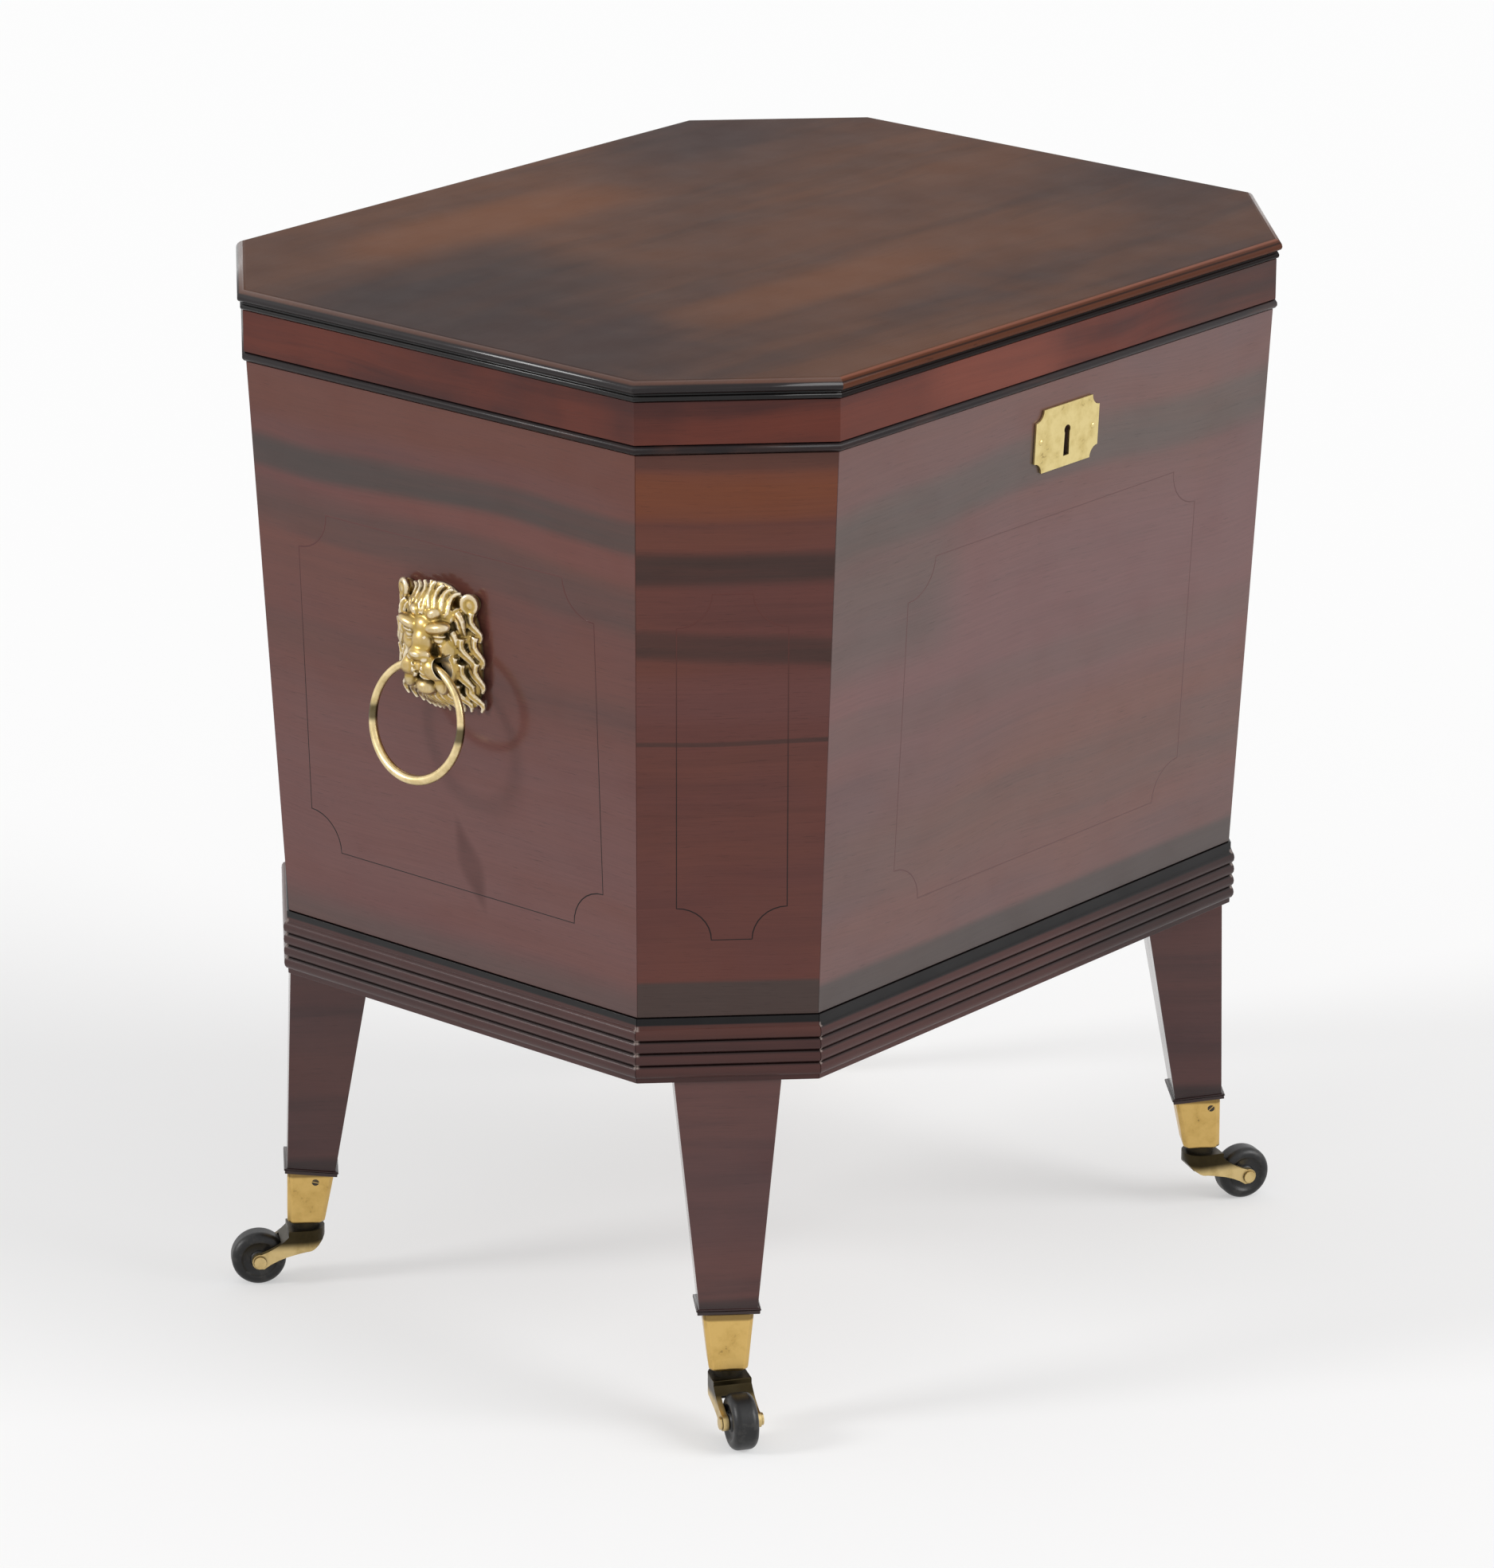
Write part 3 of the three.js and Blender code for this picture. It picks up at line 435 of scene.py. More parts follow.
@dataclass(frozen=True)
class Brass:
    """Cast or sheet brass, brown in its hollows with patina and painted shade; where a proud colour is given, pale
    on its ridges as a painted highlight where it is rubbed bright.
    """

    name: str
    bright: str = "e0bd72"
    dull: str = "a9813f"
    grime_and_shade: str = "3b2814"
    roughness: float = 0.26
    hollow: float = 3.0
    grime_and_shade_share: float = 0.9
    spots: float = 0.5
    proud: str = ""
    # Level darker bands: painted shade on a caster horn's hub and on a ring, and a darker band round the top of a
    # cup.
    dark_bands: tuple[Stripe, ...] = ()

    def material(self) -> Material:
        """Builds the finish.

        Returns:
            The material.
        """
        g = Surface(self.name)
        patch = g.noise(g.place(), scale=95, detail=4, rough=0.6)
        speck = g.noise(g.place(), scale=620, detail=2)
        # The hollows that ambient occlusion finds are darkened: patina and painted shade.
        shade = g.node("AmbientOcclusion", {"samples": 8}, {"Distance": self.hollow * MM}).outputs["AO"]
        open_air = Signal(g, shade).step(0.35, 0.95)
        grime_and_shade = ((1 - open_air) * (patch * 0.6 + 0.7)).least(1) * self.grime_and_shade_share
        spots = (patch.step(0.58, 0.78) * speck.step(0.5, 0.62)) * self.spots
        colour = g.blend(patch.step(0.4, 0.7) * 0.5, srgb(self.bright), srgb(self.dull))
        # Sharp ridges take the proud colour as a painted highlight, and creases are darkened as painted shade.
        if self.proud:
            bend = Signal(g, g.node("NewGeometry").outputs["Pointiness"])
            colour = g.blend(bend.step(0.5, 0.535) * 0.85, colour, srgb(self.proud))
            grime_and_shade = grime_and_shade.most(bend.step(0.49, 0.43) * 0.9)
        colour = g.blend(spots.most(grime_and_shade), colour, srgb(self.grime_and_shade))
        for dark_band in self.dark_bands:
            colour = dark_band.laid(g, g.axis("Z"), colour)
        dirt_and_shade = grime_and_shade.most(spots)
        return g.done({
            "Base Color": colour,
            "Metallic": 1 - dirt_and_shade * 0.55,
            "Roughness": dirt_and_shade * 0.35 + patch * 0.14 + (self.roughness - 0.07),
            "Normal": g.relief(speck * 0.6 + patch, 0.08 * MM, 0.35),
        })


@dataclass(frozen=True)
class Iron:
    """Blackened iron, worn grey where it is handled; on a wheel's tread the grey is wear and painted sheen."""

    name: str
    black: str = "121213"
    worn: str = "6d6a66"
    wear_and_sheen: float = 0.4

    def material(self) -> Material:
        """Builds the finish.

        Returns:
            The material.
        """
        g = Surface(self.name)
        patch = g.noise(g.place(), scale=140, detail=4, rough=0.6)
        speck = g.noise(g.place(), scale=900, detail=2)
        worn = patch.step(0.5, 0.66) * self.wear_and_sheen
        return g.done({
            "Base Color": g.blend(worn, srgb(self.black), srgb(self.worn)),
            "Metallic": worn * 0.8 + 0.15,
            "Roughness": patch * 0.25 + 0.28,
            "Normal": g.relief(speck + patch, 0.1 * MM, 0.5),
        })


@dataclass(frozen=True)
class PlainWood:
    """Unpolished carcase wood, dusty and oxidised."""

    name: str = "carcase_wood"
    light: str = "8a6344"
    dark: str = "5c3d29"
    heading: float = 0.0

    def material(self) -> Material:
        """Builds the finish.

        Returns:
            The material.
        """
        g = Surface(self.name)
        grain = g.noise(g.place(-self.heading, (5, 130, 130)), detail=4, rough=0.6)
        fibre = g.noise(g.place(-self.heading, (40, 1500, 1500)), detail=2)
        dust = g.noise(g.place(), scale=12, detail=3)
        colour = g.blend(grain.step(0.35, 0.7), srgb(self.light), srgb(self.dark))
        colour = g.blend(dust.step(0.5, 0.8) * 0.35, colour, srgb("4b4038"))
        colour = g.blend(0.4, colour, fibre, "MULTIPLY")
        return g.done({"Base Color": colour, "Roughness": 0.75, "Normal": g.relief(grain + fibre, 0.15 * MM, 0.6)})


@dataclass(frozen=True)
class Zinc:
    """Dull sheet zinc with water marks and white bloom."""

    name: str = "sheet_zinc"

    def material(self) -> Material:
        """Builds the finish.

        Returns:
            The material.
        """
        g = Surface(self.name)
        bloom = g.noise(g.place(scale=(1, 1, 0.6)), scale=22, detail=5, rough=0.65)
        drips = g.noise(g.place(scale=(90, 90, 4)), detail=3)
        colour = g.blend(bloom.step(0.42, 0.68), srgb("8b9092"), srgb("a9acaa"))
        colour = g.blend(drips.step(0.6, 0.8) * 0.3, colour, srgb("6a6c6b"))
        return g.done({
            "Base Color": colour,
            "Metallic": 0.55 - bloom.step(0.5, 0.75) * 0.3,
            "Roughness": bloom * 0.3 + 0.35,
            "Normal": g.relief(bloom, 0.4 * MM, 0.3),
        })


# The bench: modelling steps that several pieces share


def added(name: str, data: bpy.types.ID) -> Piece:
    """Adds an object with its data to the scene."""
    made = bpy.data.objects.new(name, data)
    bpy.context.collection.objects.link(made)
    return made


class Pick(Enum):
    """What an edit-mode step works on."""

    EDGES = "EDGE"
    FACES = "FACE"


class Bench:
    """Modelling steps, each done with Blender's own operators."""

    @staticmethod
    def alone(piece: Piece) -> None:
        """Selects one object and nothing else."""
        if bpy.context.object and bpy.context.object.mode != "OBJECT":
            bpy.ops.object.mode_set(mode="OBJECT")
        bpy.ops.object.select_all(action="DESELECT")
        piece.select_set(True)
        bpy.context.view_layer.objects.active = piece

    @staticmethod
    def edit_all(piece: Piece) -> None:
        """Enters edit mode with the whole mesh selected."""
        Bench.alone(piece)
        bpy.ops.object.mode_set(mode="EDIT")
        bpy.ops.mesh.select_all(action="SELECT")

    @staticmethod
    def start(add: Callable[..., object], **sizes: float) -> Piece:
        """Adds one of Blender's own starting shapes, with nothing else selected."""
        bpy.ops.object.select_all(action="DESELECT")
        add(**sizes)
        return bpy.context.object

    @staticmethod
    def cut_below(piece: Piece, height: float) -> None:
        """Cuts off what lies below a height and closes the cut."""
        Bench.edit_all(piece)
        bpy.ops.mesh.bisect(plane_co=(0, 0, height), plane_no=(0, 0, 1), use_fill=True, clear_inner=True)
        Bench.leave()

    @staticmethod
    def facing(way: Vector) -> Matrix:
        """The turn that lays the Z axis along a direction."""
        return UP.rotation_difference(way).to_matrix().to_4x4()

    @staticmethod
    def pick(piece: Piece, kind: Pick, test: Callable[[object], bool]) -> None:
        """Enters edit mode with just the edges or faces that pass a test selected.

        Args:
            piece: The mesh object.
            kind: What is picked.
            test: Says whether an item is picked.
        """
        Bench.alone(piece)
        bpy.ops.object.mode_set(mode="EDIT")
        bpy.ops.mesh.select_mode(type=kind.value)
        bpy.ops.mesh.select_all(action="DESELECT")
        Bench.leave()
        for item in piece.data.edges if kind is Pick.EDGES else piece.data.polygons:
            item.select = bool(test(item))
        bpy.ops.object.mode_set(mode="EDIT")

    @staticmethod
    def leave() -> None:
        """Goes back to object mode."""
        bpy.ops.object.mode_set(mode="OBJECT")

    @staticmethod
    def apply(piece: Piece, kind: str, **settings: object) -> None:
        """Adds a modifier and applies it.

        Args:
            piece: The mesh object.
            kind: The modifier's type.
            **settings: Its properties.
        """
        Bench.alone(piece)
        modifier = piece.modifiers.new(kind.lower(), kind)
        for name, value in settings.items():
            setattr(modifier, name, value)
        bpy.ops.object.modifier_apply(modifier=modifier.name)

    @staticmethod
    def copy_node(node: str, name: str) -> Piece:
        """Copies a CAD node, with its loose triangles merged into whole faces.

        Args:
            node: The CAD node.
            name: The copy's name.

        Returns:
            The copy.
        """
        piece = added(name, frame["nodes"][node].data.copy())
        piece.data.materials.clear()
        Bench.alone(piece)
        bpy.ops.mesh.customdata_custom_splitnormals_clear()
        Bench.edit_all(piece)
        bpy.ops.mesh.remove_doubles(threshold=0.003 * MM)
        bpy.ops.mesh.dissolve_limited(angle_limit=math.radians(0.4))
        Bench.leave()
        return piece

    @staticmethod
    def ease(piece: Piece, width: float, longer: float, sharper: float = 28) -> None:
        """Rounds the edges that are long and sharp enough to be eased by hand, in two facets.

        Args:
            piece: The mesh object.
            width: How much is taken off, in the mesh's own unit.
            longer: The least length of an edge that is eased.
            sharper: The least angle of an edge that is eased, in degrees.
        """
        mesh = piece.data
        sides: dict[tuple[int, int], list[Vector]] = {}
        for face in mesh.polygons:
            for key in face.edge_keys:
                sides.setdefault(key, []).append(face.normal)
        chosen = set()
        for edge in mesh.edges:
            normals = sides.get(tuple(sorted(edge.vertices)), [])
            a, b = (mesh.vertices[i].co for i in edge.vertices)
            if len(normals) == 2 and (a - b).length > longer:
                if normals[0].angle(normals[1], 0) > math.radians(sharper):
                    chosen.add(edge.index)
        Bench.pick(piece, Pick.EDGES, lambda edge: edge.index in chosen)
        bpy.ops.mesh.bevel(offset=width, segments=2, profile=0.5, clamp_overlap=False)
        Bench.leave()

    @staticmethod
    def shade(piece: Piece, angle: float = 35) -> None:
        """Shades curves smooth and keeps flats flat.

        Args:
            piece: The mesh object.
            angle: The angle past which an edge stays crisp, in degrees.
        """
        Bench.alone(piece)
        bpy.ops.object.shade_smooth_by_angle(angle=math.radians(angle))
        Bench.apply(piece, "WEIGHTED_NORMAL", keep_sharp=True, weight=80)

    @staticmethod
    def eased(node: str, name: str, width: float, longer: float, sharper: float = 28, crisp: float = 35) -> Piece:
        """Copies a CAD node, rounds its long sharp edges and shades it.

        Args:
            node: The CAD node.
            name: The copy's name.
            width: How much the rounding takes off, in metres.
            longer: The least length of an edge that is eased.
            sharper: The least angle of an edge that is eased, in degrees.
            crisp: The angle past which an edge stays crisp, in degrees.

        Returns:
            The copy.
        """
        piece = Bench.copy_node(node, name)
        Bench.ease(piece, width, longer, sharper)
        Bench.shade(piece, crisp)
        return piece

    @staticmethod
    def spun(name: str, profile: Sequence[tuple[float, float]], steps: int) -> Piece:
        """Turns a closed section of (radius, height) points about Z, as on a lathe.

        Args:
            name: The piece's name.
            profile: The section's points.
            steps: Facets round the axis.

        Returns:
            The turned piece, at the origin.
        """
        piece = Bench.start(bpy.ops.mesh.primitive_circle_add, vertices=len(profile), radius=1)
        piece.name = name
        for point, (radius, height) in zip(piece.data.vertices, profile):
            point.co = Vector((radius, 0, height))
        Bench.edit_all(piece)
        bpy.ops.mesh.spin(steps=steps, angle=math.tau, center=(0, 0, 0), axis=(0, 0, 1))
        bpy.ops.mesh.select_all(action="SELECT")
        bpy.ops.mesh.remove_doubles(threshold=0.005 * MM)
        bpy.ops.mesh.normals_make_consistent(inside=False)
        Bench.leave()
        return piece

    @staticmethod
    def put(piece: Piece, matrix: Matrix) -> None:
        """Moves a piece's mesh, so that its object stays at the origin."""
        piece.data.transform(matrix)
        piece.data.update()

    @staticmethod
    def copy(piece: Piece, name: str) -> Piece:
        """Copies a piece with its own mesh."""
        return added(name, piece.data.copy())

    @staticmethod
    def joined(pieces: Sequence[Piece], name: str) -> Piece:
        """Joins pieces into one object.

        Args:
            pieces: The pieces.
            name: The object's name.

        Returns:
            The object.
        """
        Bench.alone(pieces[0])
        for piece in pieces:
            piece.select_set(True)
        bpy.ops.object.join()
        pieces[0].name = name
        return pieces[0]

    @staticmethod
    def wire(
        name: str, points: Sequence[Vector], radii: Sequence[float], closed: bool = False, sides: int = 1
    ) -> Piece:
        """A round wire or a tapered lock along some points.

        Args:
            name: The piece's name.
            points: The middle line.
            radii: The radius at each point.
            closed: Whether the line comes back to its start.
            sides: How round its section is.

        Returns:
            The mesh object.
        """
        curve = bpy.data.curves.new(name, "CURVE")
        curve.dimensions = "3D"
        curve.bevel_depth = 1
        curve.bevel_resolution = sides
        curve.use_fill_caps = True
        spline = curve.splines.new("POLY")
        spline.points.add(len(points) - 1)
        for item, point, radius in zip(spline.points, points, radii):
            item.co = (*point, 1)
            item.radius = radius
        spline.use_cyclic_u = closed
        Bench.alone(added(name, curve))
        bpy.ops.object.convert(target="MESH")
        return bpy.context.object


RECORD = frame["record"]
BODY_OF = {node: body for body, nodes in RECORD["behaviour"]["bodies"].items() for node in nodes}
SLOT_OF = {part["node"]: part["material_slot"] for part in RECORD["subparts"]}


def dress(piece: Piece, finish: Material, node: str, stands_for: Iterable[str] = ()) -> None:
    """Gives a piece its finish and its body.

    Args:
        piece: The mesh object.
        finish: The material.
        node: The CAD node whose body and slot it takes.
        stands_for: The CAD nodes that it replaces.
    """
    piece.data.materials.clear()
    piece.data.materials.append(finish)
    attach(piece, BODY_OF[node])
    nodes = list(stands_for)
    if nodes:
        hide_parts(*nodes)
    log.info("%s: %d faces on %s", piece.name, len(piece.data.polygons), BODY_OF[node])


def keep(node: str, finish: Material) -> None:
    """Leaves a CAD node as it is and gives it a finish."""
    piece = frame["nodes"][node]
    piece.data.materials.clear()
    piece.data.materials.append(finish)
    log.info("%s keeps its CAD solid", node)


# The studio


@dataclass(frozen=True)
class Softbox:
    """A large far softbox that lights the scene evenly from its side.

    The light is what reaches a surface that faces it, where 1 shows white paint as white. The spread is how wide
    the softbox looks, in degrees.
    """

    name: str
    side: tuple[float, float, float]
    light: float
    spread: float


@dataclass(frozen=True)
class Studio:
    """The photograph's camera, its pale floor and plain soft lights."""

    eye: tuple[float, float, float] = (-2.86795, -2.45555, 1.58392)
    sight: tuple[float, float, float] = (0.71724, 0.6164, -0.32498)
    lens: float = 157.42
    floor_size: float = 60.0
    floor_colour: str = "f3f3f3"
    ambient: float = 0.62
    glow: float = 0.44
    floor_light: float = 0.985
    sensor: float = 36.0
    far: float = 100.0
    lamps: tuple[Softbox, ...] = (
        Softbox("front_softbox", (0.35, -0.94, 0.6), 0.56, 34),
        Softbox("left_softbox", (-0.84, 0.55, 0.5), 0.4, 15),
    )

    def camera(self) -> None:
        """Sets the camera where the photograph was taken from."""
        data = bpy.data.cameras.new("camera")
        data.sensor_width = self.sensor
        data.lens = self.lens
        data.clip_end = self.far
        camera = added("camera", data)
        camera.location = self.eye
        camera.rotation_euler = Vector(self.sight).to_track_quat("-Z", "Y").to_euler()
        bpy.context.scene.camera = camera

    def floor(self) -> None:
        """Lays the pale floor, which keeps the object's shadow."""
        floor = Bench.start(bpy.ops.mesh.primitive_plane_add, size=self.floor_size)
        floor.name = "floor"
        material = bpy.data.materials.new("pale_floor")
        g = Graph(material, "OutputMaterial")
        paint = g.node("BsdfDiffuse", None, {0: srgb(self.floor_colour)})
        lit = g.node("Emission", None, {0: (self.floor_light,) * 3})
        both = g.node("MixShader", None, {0: self.seen(g) * self.glow, 1: paint.outputs[0], 2: lit.outputs[0]})
        g.feed(g.output.inputs[0], both.outputs[0])
        floor.data.materials.append(material)

    def world(self) -> None:
        """Surrounds the scene with even light, and with white where it is seen."""
        world = bpy.data.worlds.new("studio")
        bpy.context.scene.world = world
        g = Graph(world, "OutputWorld")
        light = g.node("Background", None, {1: self.ambient, 0: (1.0, 1.0, 1.0)})
        white = g.node("Background", None, {1: 1.0, 0: (1.0, 1.0, 1.0)})
        both = g.node("MixShader", None, {0: self.seen(g), 1: light.outputs[0], 2: white.outputs[0]})
        g.feed(g.output.inputs[0], both.outputs[0])

    @staticmethod
    def seen(g: Graph) -> Signal:
        """Is 1 where the camera sees a surface itself, in a reflection or through something.

        Args:
            g: The node tree.

        Returns:
            The factor.
        """
        path = g.node("LightPath")
        kinds = ("Is Camera Ray", "Is Glossy Ray", "Is Transmission Ray")
        camera, glossy, through = (Signal(g, path.outputs[kind]) for kind in kinds)
        return camera.most(glossy).most(through)

    def lamp(self, box: Softbox) -> None:
        """Hangs one softbox.

        Args:
            box: The softbox.
        """
        data = bpy.data.lights.new(box.name, "SUN")
        data.energy = box.light * math.pi
        data.angle = math.radians(box.spread)
        added(box.name, data).rotation_euler = (-Vector(box.side)).to_track_quat("-Z", "Y").to_euler()

    def build(self) -> None:
        """Makes the whole studio."""
        self.camera()
        self.floor()
        self.world()
        for box in self.lamps:
            self.lamp(box)
        bpy.context.scene.view_settings.view_transform = "Standard"


# The case


def heading_of(side: str) -> float:
    """Which way a side of the eight-sided plan runs, as a turn about Z in radians."""
    return math.tau * SIDES.index(side) / len(SIDES)


def across_of(side: str) -> Vector:
    """The way across a side of the plan, from left to right as seen from outside."""
    heading = heading_of(side)
    return Vector((math.cos(heading), math.sin(heading), 0))


@dataclass
class Case:
    """The eight veneered boards and the ebony lines let into them."""

    edge: float = 0.35 * MM
    mitre_gap: float = 0.15 * MM
    line: float = 0.8 * MM
    line_proud: float = 0.1 * MM
    line_margin: float = 25.0 * MM
    cant_margin: float = 18.7 * MM
    line_low: float = 293.0 * MM
    line_high: float = 493.0 * MM
    scoop: float = 22.0 * MM
    cant_scoop: float = 19.0 * MM
    end_zone: float = 100.0 * MM
    mitre_match: float = 0.8
    fade: tuple[float, float] = (0.36, 0.5)
    front_fade: tuple[float, float] = (0.2, 0.3)
    veneers: dict[str, Mahogany] = field(default_factory=dict)

    def __post_init__(self) -> None:
        """Chooses each board's veneer, whose colours also hold painted light and shade."""
        # The seen sides' grounds and tones were matched to how bright each side looks under its light, so besides
        # each board's own veneer they hold painted light and shade; the hidden sides copy them.
        chosen = {
            "front": dict(
                ground="5b4140", warm="64423b", deep="4a3939", smoke="45433e", streak_share=0.25, seed=1.2,
                stripes=(Stripe(0.24, 0.2645, "34322f", 0.75, 0.003),),
                bands=(
                    Smoke(0.523, 0.013, 0.6, 0.03), Smoke(0.44, 0.05, 0.5, tone="6d4847"),
                    Smoke(0.405, 0.01, 0.25), Smoke(0.33, 0.02, 0.2), Smoke(0.47, 0.03, 0.5, 0, -0.15, 0.08),
                ),
            ),
            "left": dict(
                ground="593533", warm="603830", deep="472d2d", smoke="3b3330", streak_share=0.3, seed=2.7,
                coat=0.7, stripes=(Stripe(0.24, 0.262, "44403d", 0.45, 0.009),),
                bands=(
                    Smoke(0.558, 0.014, 0.8, tone="5e3327"), Smoke(0.522, 0.0085, 0.9),
                    Smoke(0.506, 0.007, 0.5, tone="663a35"), Smoke(0.488, 0.012, 0.45, -0.06),
                    Smoke(0.42, 0.01, 0.2), Smoke(0.33, 0.06, 0.55, tone="684644"),
                    Smoke(0.312, 0.0115, 0.75, -1.2, 0.012, 0.0125, "47231f"),
                ),
            ),
            "cant_front_left": dict(
                ground="56302b", warm="603528", deep="422522", smoke="31231f", streak_share=0.35, seed=4.1,
                coat=0.5, gloss=0.08, stripes=(Stripe(0.24, 0.2685, "38322f", 0.8, 0.0015),),
                bands=(
                    Smoke(0.545, 0.012, 0.9, tone="683720"), Smoke(0.503, 0.008, 0.9),
                    Smoke(0.456, 0.007, 0.8, -0.06), Smoke(0.568, 0.008, 0.5),
                    Smoke(0.43, 0.012, 0.5, tone="5f3a37"), Smoke(0.4055, 0.0012, 0.8),
                ),
            ),
        }
        chosen["right"] = dict(chosen["left"], seed=5.3, bands=(Smoke(0.48, 0.014, 0.6, 0.05),))
        chosen["back"] = dict(chosen["front"], seed=6.6, bands=(Smoke(0.44, 0.02, 0.5, -0.04),))
        for number, side in enumerate(("cant_front_right", "cant_back_right", "cant_back_left")):
            bands = (Smoke(0.49 - 0.03 * number, 0.009, 0.8),)
            chosen[side] = dict(chosen["cant_front_left"], seed=8.1 + number * 1.7, bands=bands)
        for side in SIDES:
            self.veneers[side] = Mahogany(f"veneer_{side}", heading=heading_of(side), **chosen[side])

    def board(self, side: str) -> Piece:
        """Eases one board's edges and closes its mitres.

        Args:
            side: Which side of the case.

        Returns:
            The board.
        """
        piece = Bench.copy_node(f"case_{side}", f"board_{side}")
        way = across_of(side)
        shut = self.mitre_gap / math.cos(MITRE)
        for sign in (1, -1):
            mitre = way * sign * math.cos(MITRE)
            Bench.pick(piece, Pick.FACES, lambda face, mitre=mitre: face.normal.dot(mitre) > self.mitre_match)
            bpy.ops.transform.translate(value=way * sign * shut)
            Bench.leave()
        Bench.ease(piece, self.edge, LONG_EDGE)
        Bench.shade(piece)
        return piece

    def face(self, piece: Piece, side: str) -> tuple[Vector, Vector, Vector]:
        """Finds a board's outer face.

        Args:
            piece: The board.
            side: Which side of the case.

        Returns:
            The face's middle, the way across it and the way up it.
        """
        across = across_of(side)
        outward = Vector((across.y, -across.x, 0))
        outer = max(piece.data.polygons, key=lambda face: face.area * face.normal.dot(outward))
        up = outer.normal.cross(across)
        return outer.center.copy(), across, up

    def string_line(self, piece: Piece, side: str) -> Piece:
        """Lets the ebony line with its scooped corners into one board.

        Args:
            piece: The board.
            side: Which side of the case.

        Returns:
            The line.
        """
        middle, across, up = self.face(piece, side)
        normal = across.cross(up)
        cant = side.startswith("cant")
        radius = self.cant_scoop if cant else self.scoop
        margin = self.cant_margin if cant else self.line_margin
        level = (self.line_low + self.line_high) / 2
        start = middle + up * ((level - middle.z) / up.z)
        ends = [v.co for v in piece.data.vertices if abs(v.co.z - middle.z) > self.end_zone]
        reach = [abs((point - start).dot(across)) for point in ends]
        half = sum(reach) / len(reach) - margin
        tall = (self.line_high - self.line_low) / 2
        points = []
        for quarter, (sx, sz) in enumerate(((1, 1), (-1, 1), (-1, -1), (1, -1))):
            first = -math.tau / 4 + quarter * math.tau / 4
            for step in range(ARC_STEPS + 1):
                angle = first - step * math.tau / 4 / ARC_STEPS
                flat = Vector((sx * half + radius * math.cos(angle), sz * tall + radius * math.sin(angle)))
                points.append(start + across * flat.x + up * flat.y - normal * (self.line - self.line_proud))
        return Bench.wire(f"ebony_line_{side}", points, [self.line] * len(points), True, 4)

    def build(self) -> None:
        """Makes the boards and their lines."""
        for side in SIDES:
            board = self.board(side)
            line = self.string_line(board, side)
            Bench.shade(line, 60)
            veneer = self.veneers[side]
            fade = self.front_fade if side == "front" else self.fade
            ebony = Ebonised(f"ebony_line_{side}", "1c1211", "2c1c1a", 0.1, fade, veneer.ground).material()
            dress(board, veneer.material(), f"case_{side}", [f"case_{side}"])
            dress(line, ebony, f"case_{side}")


@dataclass
class Base:
    """The reeded frame that the case stands on."""

    edge: float = 0.3 * MM
    grooves: tuple[float, ...] = (0.2202, 0.2273, 0.2345)
    groove_half: float = 0.9 * MM
    top_reed: float = 0.2355
    # The black band above the reeds is a dark fillet and the painted shade of its quirk; where its lower edge
    # reaches down over the top reed, as on the front, that is painted shade.
    band_low: float = 0.242
    cant_band_low: float = 0.2435
    other_band_low: dict[str, float] = field(default_factory=lambda: {"front": 0.2405, "left": 0.244})

    def build(self) -> None:
        """Makes the eight lengths."""
        for number, side in enumerate(SIDES):
            cant = side.startswith("cant")
            piece = Bench.eased(f"base_{side}", f"reeded_{side}", self.edge, LONG_EDGE, 50, 45)
            across = across_of(side)
            half = max(abs(v.co.dot(across)) for v in piece.data.vertices)
            black = self.other_band_low.get(side, self.cant_band_low if cant else self.band_low)
            rubbed = (Stripe(self.top_reed, black, "4a2a24", 0.8),) if cant else ()
            # On the front the reeding darkens towards its right end: painted shade.
            front_painted_shade = (Smoke(0.23, 0.04, 0.75, tone="1b1212", centre=0.2, reach=0.2),) if side == "front" else ()
            # Near-black lines along the valleys between the reeds: painted shade.
            lines = [(z - self.groove_half, z + self.groove_half) for z in self.grooves]
            grooves = [Stripe(low, high, "0c0808", 0.85, 0.0007) for low, high in lines]
            finish = Mahogany(
                f"reeding_{side}", "3a2322", "432724", "281919", "171112",
                heading=heading_of(side), seed=11 + number * 0.9, coat=0.75 if side == "left" else 0.5,
                coat_roughness=0.16, gloss=0.08, bands=front_painted_shade, pale_spots=(PaleSpot(half, (*self.grooves, self.band_low)),),
                stripes=(*rubbed, Stripe(black, 0.26, "0b0809"), *grooves),
            )
            dress(piece, finish.material(), f"base_{side}", [f"base_{side}"])


class LidSlot(Enum):
    """The material slots of the lid's top board, in their order."""

    VENEER = 0
    NOSING = 1
    INSIDE = 2
    EDGE = 3


